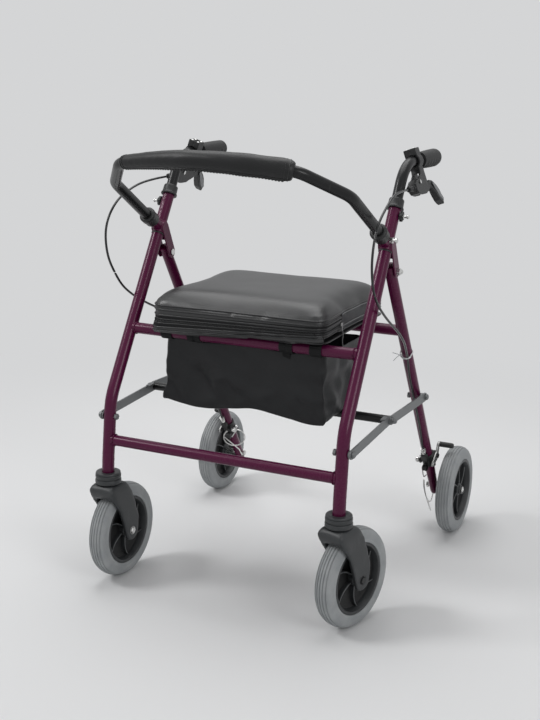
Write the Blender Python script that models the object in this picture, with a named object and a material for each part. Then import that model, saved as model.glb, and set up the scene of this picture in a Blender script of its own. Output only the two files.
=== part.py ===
"""Four-wheel rollator with a folding frame, flip-up seat, bag and loop brakes.

Metres, +Z up. The front of the walker points to -Y and its user stands at +Y.
The origin lies on the floor under the middle of the walker. Pieces that come in
pairs are drawn once, for the side at +X, and mirrored for the other side.
"""

import math

import bmesh
import bpy
from mathutils import Matrix, Vector

# Fits
GAP = 0.0003
SLIDE = 0.0003
PIN_PLAY = 0.0003

# Side frames
FRAME_HALF = 0.2449
LEG_DIA = 0.024
LEG_BORE = 0.0216
STEM_Y = -0.2805
LEG_FOOT_RISE = 0.0075
LEG_KINK_RISE = 0.0265
LEG_BEND_Y = -0.266
LEG_BEND_Z = 0.3725
LEG_LEAN = math.radians(31.43)
LEG_UPPER = 0.3551
LEG_BEND_RADIUS = 0.10

# Cross tubes between the front legs
RAIL_DIA = 0.022
RAIL_BORE = 0.019
SEAT_RAIL_ALONG = 0.1506
LOWER_RAIL_RISE = 0.0532

# Upright weldment above each front leg
ELBOW_RISE = 0.0145
UPRIGHT_TOP = 0.0879
STUB_LENGTH = 0.052
STUB_BORE_START = 0.0135
CHEEK_WALL = 0.0027
CHEEK_TOP_RADIUS = 0.012
CHEEK_LOW_RADIUS = 0.0125
WEB_CLEAR = 0.021

# Fold hinge and rear legs
HINGE_Y = -0.0486
HINGE_Z = 0.6335
HINGE_PIN_DIA = 0.008
REAR_LEG_DIA = 0.022
REAR_LEG_BORE = 0.019
REAR_LEG_OVER = 0.013
REAR_LEG_UNDER = 0.021
REAR_RAIL_ALONG = 0.1559

# Wheels
WHEEL_RADIUS = 0.095
TYRE_WIDTH = 0.0345
RIM_RADIUS = 0.068
RIM_WALL = 0.0062
REAR_AXLE_Y = 0.2853
REAR_WHEEL_OUT = 0.0475
AXLE_DIA = 0.008
HUB_RADIUS = 0.0145
REAR_HUB_HALF = 0.0150
RIBS = 6
RIB_HALF_WIDE = 0.0016
RIB_HALF_DEEP = 0.0095
WEB_HALF = 0.0015

# Casters
TRAIL = 0.042
YAW = {"left": math.radians(-2.3), "right": math.radians(-15.0)}
STEM_DIA = 0.012
STEM_LENGTH = 0.036
CROWN_WALL = 0.0109
CUP_HEIGHT = 0.0237
CUP_RADIUS = 0.0258
FORK_CLEAR = 0.0051
FORK_SIDE_CLEAR = 0.00205
FORK_WALL = 0.0097

# Handles
HANDLE_DIA = 0.021
HANDLE_BORE = 0.0178
HANDLE_Z = 0.831
HANDLE_BEND_RADIUS = 0.075
HANDLE_TAIL = 0.236
HANDLE_END_Y = 0.1885
HANDLE_HOLES = 6
HANDLE_HOLE_PITCH = 0.0254
HANDLE_HOLE_DIA = 0.0065
GRIP_START_Y = 0.0915
GRIP_END_Y = 0.196
COLLAR_START = 0.0713
COLLAR_LENGTH = 0.0206
COLLAR_RADIUS = 0.0165
KNOB_ALONG = 0.0574
KNOB_STUD_DIA = 0.005

# Backrest
BACK_COLLAR_START = 0.032
BACK_COLLAR_LENGTH = 0.028
BACK_BOLT_ALONG = 0.020
BACK_BOLT_DIA = 0.006
BACK_TUBE_START = 0.0142
BACK_STRAIGHT = 0.074
BACK_CORNER_INSET = 0.0059
BACK_CORNER_PLACE = (-0.2440, 0.7920)
BACK_PAD_END = (0.1750, -0.3260, 0.8385)
BACK_MIDDLE = (0.0, -0.3623, 0.8520)
PAD_RADIUS = 0.018
PAD_REACH = 0.172
PAD_ROUND = 0.005

# Brake levers, drawn with the handle's axis as zero height
LEVER_LEAN = math.radians(20.0)
CLAMP_Y = (0.058, 0.080)
CLAMP_RADIUS = 0.0158
HOUSING_HALF = 0.0095
LEVER_HALF = 0.0050
PIVOT_Y = 0.038
PIVOT_DROP = 0.0415
PIVOT_DIA = 0.005
CABLE_DROP = 0.050
BARREL_Y = (-0.010, 0.014)
BARREL_RADIUS = 0.0062

# Rear brakes, placed by the distance past the tyre's edge down the rear leg's axis,
# and by the distance behind that axis
BRAKE_PIVOT_PAST = 0.002882
BRAKE_PIVOT_BEHIND = 0.0109
BRAKE_PAD_PAST = -0.012218
BRAKE_PAD_BEHIND = 0.0320
BRAKE_ANCHOR_PAST = -0.000618
BRAKE_ANCHOR_BEHIND = -0.0170
BRAKE_BAND_PAST = -0.016618
BRAKE_BAND_LENGTH = 0.0340
BAND_WALL = 0.0027
BRAKE_PIN_DIA = 0.006
ARM_WALL = 0.0032
SLEEVE_RADIUS = 0.006
SLEEVE_REACH = 0.0511
CABLE_STOP_PAST = -0.031618
CABLE_STOP_BEHIND = -0.0165

# Fold links
LINK_WIDTH = 0.018
LINK_WALL = 0.003
FRONT_LINK_OUT = 0.0154
REAR_LINK_OUT = 0.0187
LINK_BOLT_DIA = 0.0065
FRONT_PIVOT_Z = 0.3398
MIDDLE_PIVOT = (-0.0751, 0.3497)
REAR_PIVOT_ALONG = 0.3422
CROSSBAR_RADIUS = 0.0085

# Seat and bag
SEAT_HALF = 0.1765
SEAT_FRONT_Y = -0.2125
SEAT_REAR_Y = 0.112
BOARD_WALL = 0.0030
SEAT_SEAM_Z = 0.558
SEAT_CROWN_Z = 0.582
FLAP_LOW_Z = 0.4965
FLAP_WALL = 0.0085
STRAP_INSET = 0.0185
STRAP_WIDTH = 0.022
STRAP_WALL = 0.002
LOOP_WALL = 0.003
BAG_INSET = 0.0045
BAG_TOP_Z = 0.485
BAG_FRONT_Y = -0.181
BAG_REAR_Y = 0.012
BAG_FLOOR_FRONT_Z = 0.357
BAG_FLOOR_REAR_Z = 0.3625
BAG_WALL = 0.0015
BAG_HOOK_X = 0.092
BAG_HOOK_WIDTH = 0.016

# Cables
CABLE_DIA = 0.005
CABLE_STEP = 0.0155

# Facets round a full turn
TUBE_SIDES = 10
WHEEL_SIDES = 24
ROUND_SIDES = 12
SMALL_SIDES = 8
BEND_STEP = math.radians(18.0)

SIDES = {"left": -1, "right": 1}
X_AXIS = Vector((1.0, 0.0, 0.0))
Y_AXIS = Vector((0.0, 1.0, 0.0))
Z_AXIS = Vector((0.0, 0.0, 1.0))

# Places that follow from the sizes above
CROWN_Z = 2 * WHEEL_RADIUS + FORK_CLEAR + CROWN_WALL
CUP_TOP_Z = CROWN_Z + CUP_HEIGHT
STEM_TOP_Z = CROWN_Z + STEM_LENGTH
LEG_FOOT_Z = CROWN_Z + LEG_FOOT_RISE
LEG_KINK_Z = LEG_FOOT_Z + LEG_KINK_RISE
LOWER_RAIL_Z = LEG_KINK_Z + LOWER_RAIL_RISE
FORK_INNER = TYRE_WIDTH / 2 + FORK_SIDE_CLEAR
FORK_HALF = FORK_INNER + FORK_WALL
CASTER_HUB_HALF = FORK_INNER - GAP
REAR_WHEEL_X = FRAME_HALF + REAR_WHEEL_OUT
FRONT_LINK_X = FRAME_HALF + FRONT_LINK_OUT
REAR_LINK_X = FRAME_HALF + REAR_LINK_OUT
SLEEVE_END_X = FRAME_HALF + SLEEVE_REACH
BACK_CORNER = (FRAME_HALF - BACK_CORNER_INSET, *BACK_CORNER_PLACE)
STRAP_X = SEAT_HALF - STRAP_INSET
BAG_HALF = SEAT_HALF - BAG_INSET

# Directions in the side frame's plane
LEG_UP = Vector((0.0, math.sin(LEG_LEAN), math.cos(LEG_LEAN)))
STUB_OUT = Vector((0.0, -math.cos(LEG_LEAN), math.sin(LEG_LEAN)))
HINGE = Vector((FRAME_HALF, HINGE_Y, HINGE_Z))
AXLE = Vector((FRAME_HALF, REAR_AXLE_Y, WHEEL_RADIUS))
REAR_DOWN = (AXLE - HINGE).normalized()
REAR_BEHIND = X_AXIS.cross(REAR_DOWN)
TYRE_EDGE_ALONG = (AXLE - HINGE).length - WHEEL_RADIUS
BRAKE_PIVOT = (TYRE_EDGE_ALONG + BRAKE_PIVOT_PAST, BRAKE_PIVOT_BEHIND)
BRAKE_PAD = (TYRE_EDGE_ALONG + BRAKE_PAD_PAST, BRAKE_PAD_BEHIND)
BRAKE_ANCHOR = (TYRE_EDGE_ALONG + BRAKE_ANCHOR_PAST, BRAKE_ANCHOR_BEHIND)
BRAKE_BAND = (TYRE_EDGE_ALONG + BRAKE_BAND_PAST,
              TYRE_EDGE_ALONG + BRAKE_BAND_PAST + BRAKE_BAND_LENGTH)
CABLE_STOP_ALONG = TYRE_EDGE_ALONG + CABLE_STOP_PAST
LEG_BEND = Vector((FRAME_HALF, LEG_BEND_Y, LEG_BEND_Z))
ELBOW = LEG_BEND + LEG_UP * (LEG_UPPER + ELBOW_RISE)

FINISHES = {
    "burgundy_paint": ((0.10, 0.018, 0.045), 0.35, 0.6),
    "black_plastic": ((0.03, 0.032, 0.034), 0.5, 0.0),
    "black_paint": ((0.035, 0.037, 0.04), 0.35, 0.3),
    "grey_rubber": ((0.36, 0.37, 0.375), 0.7, 0.0),
    "hub_plastic": ((0.07, 0.075, 0.08), 0.45, 0.0),
    "zinc_steel": ((0.62, 0.62, 0.60), 0.3, 1.0),
    "grey_link": ((0.18, 0.185, 0.19), 0.4, 0.7),
    "black_vinyl": ((0.02, 0.021, 0.023), 0.45, 0.0),
    "black_cloth": ((0.015, 0.016, 0.018), 0.85, 0.0),
    "black_foam": ((0.025, 0.026, 0.028), 0.8, 0.0),
}


def clear_scene():
    """Remove whatever the open file holds."""
    for thing in list(bpy.data.objects):
        bpy.data.objects.remove(thing, do_unlink=True)


def finish_material(name):
    """Return the Principled material of one finish, made once."""
    existing = bpy.data.materials.get(name)
    if existing:
        return existing
    colour, roughness, metallic = FINISHES[name]
    material = bpy.data.materials.new(name)
    material.use_nodes = True
    shader = material.node_tree.nodes["Principled BSDF"]
    shader.inputs["Base Color"].default_value = (*colour, 1.0)
    shader.inputs["Roughness"].default_value = roughness
    shader.inputs["Metallic"].default_value = metallic
    return material


# Places along the members


def leg_at(along):
    """Return the point of the front leg's upper run at a distance above its bend."""
    return LEG_BEND + LEG_UP * along


def upright_at(along, out=0.0):
    """Return a point along the upright above the elbow, or out along its stub."""
    return ELBOW + LEG_UP * along + STUB_OUT * out


def rear_at(along, behind=0.0, across=0.0):
    """Return a point along the rear leg below the hinge, behind it and outboard."""
    return HINGE + REAR_DOWN * along + REAR_BEHIND * behind + X_AXIS * across


def at_x(point, x):
    """Return the point moved to another X."""
    return Vector((x, point.y, point.z))


# Solids, each a bmesh with outward faces


def add_band(solid, low, high):
    """Join two rings of vertices with quads."""
    count = len(low)
    for index in range(count):
        after = (index + 1) % count
        solid.faces.new((low[index], low[after], high[after], high[index]))


def loft(outer, inner=None, through=True):
    """Skin a row of rings, with a bore of further rings through it or blind."""
    solid = bmesh.new()
    rows = [[solid.verts.new(point) for point in ring] for ring in outer]
    for low, high in zip(rows, rows[1:]):
        add_band(solid, low, high)
    if inner is None:
        solid.faces.new(rows[0])
        solid.faces.new(rows[-1])
    else:
        bore = [[solid.verts.new(point) for point in ring] for ring in inner]
        for low, high in zip(bore, bore[1:]):
            add_band(solid, low, high)
        add_band(solid, rows[0], bore[0])
        if through:
            add_band(solid, rows[-1], bore[-1])
        else:
            solid.faces.new(rows[-1])
            solid.faces.new(bore[-1])
    bmesh.ops.recalc_face_normals(solid, faces=solid.faces)
    return solid


def ring(centre, axis, radius, sides, reference=X_AXIS, flatten=(1.0, 1.0)):
    """Return points round a circle, flattened along the reference and across it."""
    across = axis.cross(reference).normalized()
    first = across.cross(axis).normalized()
    points = []
    for index in range(sides):
        turn = 2 * math.pi * (index + 0.5) / sides
        along_first = first * math.cos(turn) * flatten[0]
        along_across = across * math.sin(turn) * flatten[1]
        points.append(centre + (along_first + along_across) * radius)
    return points


def turned(profile, origin, axis, sides=ROUND_SIDES):
    """Revolve a closed profile of (distance, radius) pairs round an axis.

    A profile that starts and ends on the axis gives a solid one, its flat ends single faces.
    """
    solid = bmesh.new()
    reference = X_AXIS if abs(axis.dot(X_AXIS)) < 0.9 else Z_AXIS
    flat_start = profile[0][1] <= 0.0 and profile[0][0] == profile[1][0]
    flat_end = profile[-1][1] <= 0.0 and profile[-1][0] == profile[-2][0]
    solid_round = profile[0][1] <= 0.0
    profile = profile[1 if flat_start else 0:-1 if flat_end else len(profile)]
    rows = []
    for distance, radius in profile:
        centre = origin + axis * distance
        if radius <= 0.0:
            rows.append([solid.verts.new(centre)] * sides)
        else:
            points = ring(centre, axis, radius, sides, reference)
            rows.append([solid.verts.new(point) for point in points])
    pairs = list(zip(rows, rows[1:]))
    if not solid_round:
        pairs.append((rows[-1], rows[0]))
    for low, high in pairs:
        for index in range(sides):
            after = (index + 1) % sides
            corners = dict.fromkeys((low[index], low[after], high[after], high[index]))
            if len(corners) > 2:
                solid.faces.new(tuple(corners))
    if flat_start:
        solid.faces.new(tuple(rows[0]))
    if flat_end:
        solid.faces.new(tuple(rows[-1]))
    bmesh.ops.recalc_face_normals(solid, faces=solid.faces)
    return solid


def rod(start, end, radius, sides=SMALL_SIDES, chamfer=0.0):
    """Return a round bar from start to end, with chamfered ends when asked."""
    axis = end - start
    length = axis.length
    if chamfer:
        profile = [
            (0.0, 0.0),
            (0.0, radius - chamfer),
            (chamfer, radius),
            (length - chamfer, radius),
            (length, radius - chamfer),
            (length, 0.0),
        ]
    else:
        profile = [(0.0, 0.0), (0.0, radius), (length, radius), (length, 0.0)]
    return turned(profile, start, axis.normalized(), sides)


def sleeve(start, end, outer, inner, sides=ROUND_SIDES):
    """Return a plain tube from start to end."""
    axis = (end - start).normalized()
    length = (end - start).length
    profile = [(0.0, inner), (0.0, outer), (length, outer), (length, inner)]
    return turned(profile, start, axis, sides)


def slab(outline, low_x, high_x):
    """Extrude a (y, z) outline between two X planes."""
    outer = [[Vector((x, y, z)) for y, z in outline] for x in (low_x, high_x)]
    return loft(outer)


def arc(centre, radius, start, end, steps):
    """Return points of a circular arc in a plane, angles in degrees."""
    points = []
    for index in range(steps + 1):
        turn = math.radians(start + (end - start) * index / steps)
        points.append(
            (centre[0] + radius * math.cos(turn), centre[1] + radius * math.sin(turn))
        )
    return points


def boolean(base, tool, operation):
    """Combine two solids and return the result, freeing both."""
    holders = []
    for solid in (base, tool):
        mesh = bpy.data.meshes.new("work")
        solid.to_mesh(mesh)
        solid.free()
        holder = bpy.data.objects.new("work", mesh)
        bpy.context.scene.collection.objects.link(holder)
        holders.append(holder)
    modifier = holders[0].modifiers.new("combine", "BOOLEAN")
    modifier.operation = operation
    modifier.solver = "EXACT"
    modifier.object = holders[1]
    graph = bpy.context.evaluated_depsgraph_get()
    mesh = bpy.data.meshes.new_from_object(holders[0].evaluated_get(graph))
    result = bmesh.new()
    result.from_mesh(mesh)
    bpy.data.meshes.remove(mesh)
    for holder in holders:
        data = holder.data
        bpy.data.objects.remove(holder, do_unlink=True)
        bpy.data.meshes.remove(data)
    return result


def fuse(base, *tools):
    """Return the union of solids."""
    for tool in tools:
        base = boolean(base, tool, "UNION")
    return base


def carve(base, *tools):
    """Return the base with the tools cut out of it."""
    for tool in tools:
        base = boolean(base, tool, "DIFFERENCE")
    return base


def moved(solid, matrix):
    """Transform a solid in place and return it."""
    bmesh.ops.transform(solid, matrix=matrix, verts=solid.verts)
    if matrix.determinant() < 0:
        bmesh.ops.reverse_faces(solid, faces=solid.faces)
    return solid


def for_side(solid, side):
    """Return the solid as drawn for +X, or mirrored for -X."""
    if side > 0:
        return solid
    return moved(solid, Matrix.Diagonal((-1.0, 1.0, 1.0, 1.0)))


def add_node(name, solid, origin, finish, parent=None, sharp=math.radians(35.0)):
    """Make a named object of a solid, with its origin at the given point."""
    moved(solid, Matrix.Translation(-origin))
    mesh = bpy.data.meshes.new(name)
    solid.to_mesh(mesh)
    solid.free()
    mesh.shade_smooth()
    mesh.set_sharp_from_angle(angle=sharp)
    mesh.materials.append(finish_material(finish))
    node = bpy.data.objects.new(name, mesh)
    bpy.context.scene.collection.objects.link(node)
    hang(node, origin, parent)
    return node


def add_axis(name, place, parent=None):
    """Make an empty that stands on a joint's axis."""
    axis = bpy.data.objects.new(name, None)
    axis.empty_display_size = 0.03
    bpy.context.scene.collection.objects.link(axis)
    hang(axis, place, parent)
    return axis


def hang(thing, place, parent):
    """Place an object in the world, under a parent that is not rotated yet."""
    if parent is None:
        thing.location = place
        return
    thing.parent = parent
    offset = place.copy()
    above = parent
    while above is not None:
        offset -= above.location
        above = above.parent
    thing.location = offset


# Bent tubes


def rounded_path(corners, radius):
    """Return points along a polyline with its inner corners rounded."""
    points = [corners[0]]
    for before, corner, after in zip(corners, corners[1:], corners[2:]):
        back = (before - corner).normalized()
        ahead = (after - corner).normalized()
        half = back.angle(ahead) / 2
        reach = radius / math.tan(half)
        centre = corner + (back + ahead).normalized() * radius / math.sin(half)
        spoke = corner + back * reach - centre
        axis = spoke.cross(corner + ahead * reach - centre).normalized()
        turn = math.pi - 2 * half
        steps = max(1, math.ceil(turn / BEND_STEP))
        for index in range(steps + 1):
            swing = Matrix.Rotation(turn * index / steps, 3, axis)
            points.append(centre + swing @ spoke)
    points.append(corners[-1])
    return points


def along_path(points, radius, sides=TUBE_SIDES, start=X_AXIS, shape=None):
    """Return rings along a path, without twist, each shaped by its own function."""
    rings = []
    reference = start
    for index, point in enumerate(points):
        before = points[max(index - 1, 0)]
        after = points[min(index + 1, len(points) - 1)]
        tangent = (after - point).normalized() + (point - before).normalized()
        tangent.normalize()
        across = tangent.cross(reference).normalized()
        reference = across.cross(tangent).normalized()
        flatten = shape(index) if shape else (1.0, 1.0)
        rings.append(ring(point, tangent, radius, sides, reference, flatten))
    return rings


def pipe(points, outer, inner, sides=TUBE_SIDES, start=X_AXIS):
    """Return an open tube along a path."""
    return loft(
        along_path(points, outer, sides, start), along_path(points, inner, sides, start)
    )


def bore_radius(radius, play, sides):
    """Return a bore's corner radius, so that its flats clear a round of a radius."""
    return (radius + play) / math.cos(math.pi / sides)


def saddled(tube, *members):
    """Cut the seats of crossing round members, given as (start, end, radius)."""
    for start, end, radius in members:
        seat = bore_radius(radius, GAP, ROUND_SIDES + 4)
        tube = carve(tube, rod(start, end, seat, ROUND_SIDES + 4))
    return tube


def pin_bore(point, pin_diameter, low_x=0.0, high_x=1.0):
    """Return a cutter along X for a hole in which a pin turns."""
    radius = bore_radius(pin_diameter / 2, PIN_PLAY, SMALL_SIDES)
    return rod(at_x(point, low_x), at_x(point, high_x), radius)


# Front legs, cross tubes and uprights


def front_leg():
    """Bent leg tube, its upper run open for the handle tube to slide in."""
    foot = Vector((FRAME_HALF, STEM_Y, LEG_FOOT_Z))
    kink = Vector((FRAME_HALF, STEM_Y, LEG_KINK_Z))
    points = rounded_path([foot, kink, LEG_BEND, leg_at(LEG_UPPER)], LEG_BEND_RADIUS)
    leg = pipe(points, LEG_DIA / 2, LEG_BORE / 2)
    pivot = front_pivot()
    return carve(leg, pin_bore(pivot, LINK_BOLT_DIA))


def front_pivot():
    """Return the point where the front fold link is bolted to the leg."""
    foot = Vector((FRAME_HALF, STEM_Y, LEG_KINK_Z))
    share = (FRONT_PIVOT_Z - LEG_KINK_Z) / (LEG_BEND_Z - LEG_KINK_Z)
    return foot.lerp(LEG_BEND, share)


def rail_between(centre, bore, member_up, member_radius):
    """Tube across the walker whose ends are saddled on round members."""
    reach = at_x(centre, FRAME_HALF)
    rail = sleeve(at_x(centre, -FRAME_HALF), reach, RAIL_DIA / 2, bore / 2, TUBE_SIDES)
    ends = []
    for side in SIDES.values():
        middle = at_x(centre, side * FRAME_HALF)
        ends.append((middle - member_up * 0.05, middle + member_up * 0.05, member_radius))
    return saddled(rail, *ends)


def upright():
    """Upright, elbow, backrest stub and hinge channel, welded as one."""
    channel_down = (HINGE - ELBOW).normalized()
    channel_front = channel_down.cross(X_AXIS)
    length = (HINGE - ELBOW).length

    def side_outline(pairs):
        places = [ELBOW + channel_down * t + channel_front * w for t, w in pairs]
        return [(place.y, place.z) for place in places]

    half = REAR_LEG_DIA / 2 + GAP
    top = arc((0.0, 0.0), CHEEK_TOP_RADIUS, 90, 270, 6)
    low = arc((length, 0.0), CHEEK_LOW_RADIUS, -90, 90, 8)
    block = slab(side_outline(top + low), FRAME_HALF - half - CHEEK_WALL,
                 FRAME_HALF + half + CHEEK_WALL)
    web_end = length - WEB_CLEAR
    inner = -CHEEK_TOP_RADIUS + CHEEK_WALL
    wide = 0.03
    deep = length + wide
    pocket = slab(
        side_outline([(0.008, inner), (0.008, wide), (deep, wide), (deep, -wide),
                      (web_end, -wide), (web_end, inner)]),
        FRAME_HALF - half, FRAME_HALF + half)
    body = carve(block, pocket)
    seat = bore_radius(LEG_DIA / 2, GAP, ROUND_SIDES + 4)
    body = carve(body, rod(leg_at(LEG_UPPER / 2), leg_at(LEG_UPPER + 2 * GAP), seat, ROUND_SIDES + 4))
    post = rod(leg_at(LEG_UPPER + GAP), upright_at(UPRIGHT_TOP), LEG_DIA / 2, ROUND_SIDES)
    stub = rod(ELBOW, upright_at(0.0, STUB_LENGTH), LEG_DIA / 2, ROUND_SIDES)
    body = fuse(body, post, stub)
    bore = LEG_BORE / 2
    handle_bore = rod(leg_at(LEG_UPPER - 0.01), upright_at(UPRIGHT_TOP + 0.01), bore,
                      TUBE_SIDES)
    stub_bore = rod(upright_at(0.0, STUB_BORE_START), upright_at(0.0, STUB_LENGTH + 0.01),
                    bore, TUBE_SIDES)
    pin_hole = pin_bore(HINGE, HINGE_PIN_DIA)
    knob_hole = pin_bore(upright_at(KNOB_ALONG), KNOB_STUD_DIA, FRAME_HALF)
    bolt_hole = pin_bore(upright_at(0.0, BACK_BOLT_ALONG), BACK_BOLT_DIA, FRAME_HALF)
    return carve(body, handle_bore, stub_bore, pin_hole, knob_hole, bolt_hole)


def collar(start, axis, length, tube_end):
    """Moulded collar that seats on a tube's end and guides the sliding tube."""
    seat = bore_radius(LEG_DIA / 2, GAP, ROUND_SIDES)
    guide = bore_radius(HANDLE_DIA / 2, SLIDE, ROUND_SIDES)
    profile = [
        (0.0, seat),
        (0.0, COLLAR_RADIUS * 0.88),
        (length * 0.62, COLLAR_RADIUS * 0.97),
        (length * 0.70, COLLAR_RADIUS * 1.04),
        (length * 0.86, COLLAR_RADIUS * 1.04),
        (length, COLLAR_RADIUS * 0.86),
        (length, guide),
        (tube_end + GAP, guide),
        (tube_end + GAP, seat),
    ]
    return turned(profile, start, axis, ROUND_SIDES)


def height_knob():
    """Winged hand screw whose stud enters the upright's wall."""
    middle = upright_at(KNOB_ALONG)
    wall = LEG_DIA / 2

    def out(offset):
        return at_x(middle, FRAME_HALF + offset)

    hub = turned(
        [(0.0, 0.0), (0.0, 0.0060), (0.002, 0.0075), (0.0075, 0.0070), (0.009, 0.005),
         (0.009, 0.0)], out(wall + GAP), X_AXIS, SMALL_SIDES)
    wing_low = slab(knob_wing(middle), FRAME_HALF + wall + 0.002, FRAME_HALF + wall + 0.0075)
    stud_tip = out(HANDLE_BORE / 2 + 0.0021)
    stud = rod(stud_tip, out(wall + 0.019), KNOB_STUD_DIA / 2, SMALL_SIDES)
    head = rod(out(wall + 0.0155), out(wall + 0.019), 0.0042, SMALL_SIDES, 0.0008)
    return fuse(hub, wing_low, stud, head)


def knob_wing(middle):
    """Return the outline of two rounded wings, along the upright."""
    reach = 0.0085
    tip = 0.0036
    pairs = [(reach, tip), (reach + 0.002, 0.0), (reach, -tip), (0.0, -0.0062),
             (-reach, -tip), (-reach - 0.002, 0.0), (-reach, tip), (0.0, 0.0062)]
    places = [middle + LEG_UP * t + STUB_OUT * w for t, w in pairs]
    return [(place.y, place.z) for place in places]


def backrest_bolt():
    """Clamp screw in the backrest stub, its tip against the backrest tube."""
    middle = upright_at(0.0, BACK_BOLT_ALONG)
    tip = HANDLE_DIA / 2 + GAP
    wall = LEG_DIA / 2
    shank = rod(at_x(middle, FRAME_HALF + tip), at_x(middle, FRAME_HALF + 0.024),
                BACK_BOLT_DIA / 2, SMALL_SIDES)
    nut = rod(at_x(middle, FRAME_HALF + wall + GAP),
              at_x(middle, FRAME_HALF + wall + 0.006), 0.0062, 6)
    head = rod(at_x(middle, FRAME_HALF + 0.022), at_x(middle, FRAME_HALF + 0.0265),
               0.0052, SMALL_SIDES, 0.001)
    return fuse(shank, nut, head)


# Backrest


def backrest_corners():
    """Return the bow's corner points on the +X side, from its end to the middle."""
    start = upright_at(0.0, BACK_TUBE_START)
    straight = upright_at(0.0, BACK_STRAIGHT)
    return [start, straight, Vector(BACK_CORNER), Vector(BACK_PAD_END)]


def backrest_half_path():
    """Return the bow's centre line from its +X end to the middle."""
    half = backrest_corners()
    middle = Vector(BACK_MIDDLE)
    shoulder = half[-1].lerp(middle, 0.45)
    shoulder.y -= 0.0035
    return rounded_path(half + [shoulder], 0.055) + [middle]


def bow_rings(radius):
    """Return rings along the whole bow, its -X half the mirror of the other."""
    flip = Matrix.Diagonal((-1.0, 1.0, 1.0))
    path = backrest_half_path()
    flat_end = path + [flip @ path[-2]]
    half = along_path(flat_end, radius)[:-1]
    other = [[flip @ point for point in ring_points] for ring_points in reversed(half[:-1])]
    return half + other


def backrest_tube():
    """Bow tube that plugs into both stubs."""
    return loft(bow_rings(HANDLE_DIA / 2), bow_rings(HANDLE_BORE / 2))


def backrest_pad():
    """Foam sleeve over the middle of the bow."""
    half = backrest_half_path()
    centres = half + [Vector((-point.x, point.y, point.z)) for point in reversed(half[:-1])]
    chosen = [index for index, point in enumerate(centres) if abs(point.x) < PAD_REACH]
    outer_rings = bow_rings(PAD_RADIUS)
    inner_rings = bow_rings(HANDLE_DIA / 2 + GAP)
    outer = [outer_rings[index] for index in chosen]
    inner = [inner_rings[index] for index in chosen]
    for end, inward in ((0, 1), (-1, -2)):
        centre = centres[chosen[end]]
        step = (centres[chosen[inward]] - centre).normalized() * PAD_ROUND
        face = [centre + (point - centre) * 0.75 for point in outer[end]]
        outer[end] = [point + step for point in outer[end]]
        outer.insert(0 if end == 0 else len(outer), face)
    return loft(outer, inner)


# Handles


def handle_path():
    """Return the handle tube's centre line, from its tail to the grip's end."""
    rise = (HANDLE_Z - ELBOW.z) / LEG_UP.z
    corner = upright_at(rise)
    tail = upright_at(UPRIGHT_TOP - HANDLE_TAIL)
    end = Vector((FRAME_HALF, HANDLE_END_Y, HANDLE_Z))
    return rounded_path([tail, corner, end], HANDLE_BEND_RADIUS)


def handle_tube():
    """Handle tube with its row of height holes on the outboard side."""
    tube = pipe(handle_path(), HANDLE_DIA / 2, HANDLE_BORE / 2)
    for index in range(HANDLE_HOLES):
        place = upright_at(KNOB_ALONG - HANDLE_HOLE_PITCH * index)
        hole = rod(place, at_x(place, 1.0), HANDLE_HOLE_DIA / 2, 6)
        tube = carve(tube, hole)
    return tube


def grip():
    """Moulded hand grip, blind at its rear end, with finger ridges below."""
    front = 0.0150
    stations = 15
    length = GRIP_END_Y - GRIP_START_Y
    outer = []
    for index in range(stations):
        share = index / (stations - 1)
        place = Vector((FRAME_HALF, GRIP_START_Y + length * share, HANDLE_Z))
        body = front + 0.0023 * math.sin(math.pi * min(share * 0.62, 0.5))
        if share > 0.9:
            body *= math.sqrt(1.0 - ((share - 0.9) / 0.13) ** 2)
        ridge = 0.0014 * math.cos(2 * math.pi * 4.5 * share) if 0.1 < share < 0.88 else 0.0
        points = []
        for point in ring(place, Y_AXIS, 1.0, TUBE_SIDES):
            out = point - place
            below = max(0.0, -out.z)
            points.append(place + out * (body + ridge * below))
        outer.append(points)
    bore = HANDLE_DIA / 2 + GAP
    deep = Vector((FRAME_HALF, HANDLE_END_Y + GAP, HANDLE_Z))
    mouth = Vector((FRAME_HALF, GRIP_START_Y, HANDLE_Z))
    inner = [ring(mouth, Y_AXIS, bore, TUBE_SIDES), ring(deep, Y_AXIS, bore, TUBE_SIDES)]
    return loft(outer, inner, through=False)


# Brake levers


def lean_lever(solid):
    """Turn a piece drawn under the +X handle outboard about the handle's axis."""
    axis = Vector((FRAME_HALF, 0.0, HANDLE_Z))
    turn = Matrix.Rotation(-LEVER_LEAN, 4, "Y")
    place = Matrix.Translation(axis) @ turn @ Matrix.Translation(-axis)
    return moved(solid, place)


def under_handle(pairs):
    """Return a (y, z) outline from (y, drop below the handle's axis) pairs."""
    return [(y, HANDLE_Z - drop) for y, drop in pairs]


def lever_point(y, drop):
    """Return a point below the +X handle before it is leaned."""
    return Vector((FRAME_HALF, y, HANDLE_Z - drop))


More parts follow.
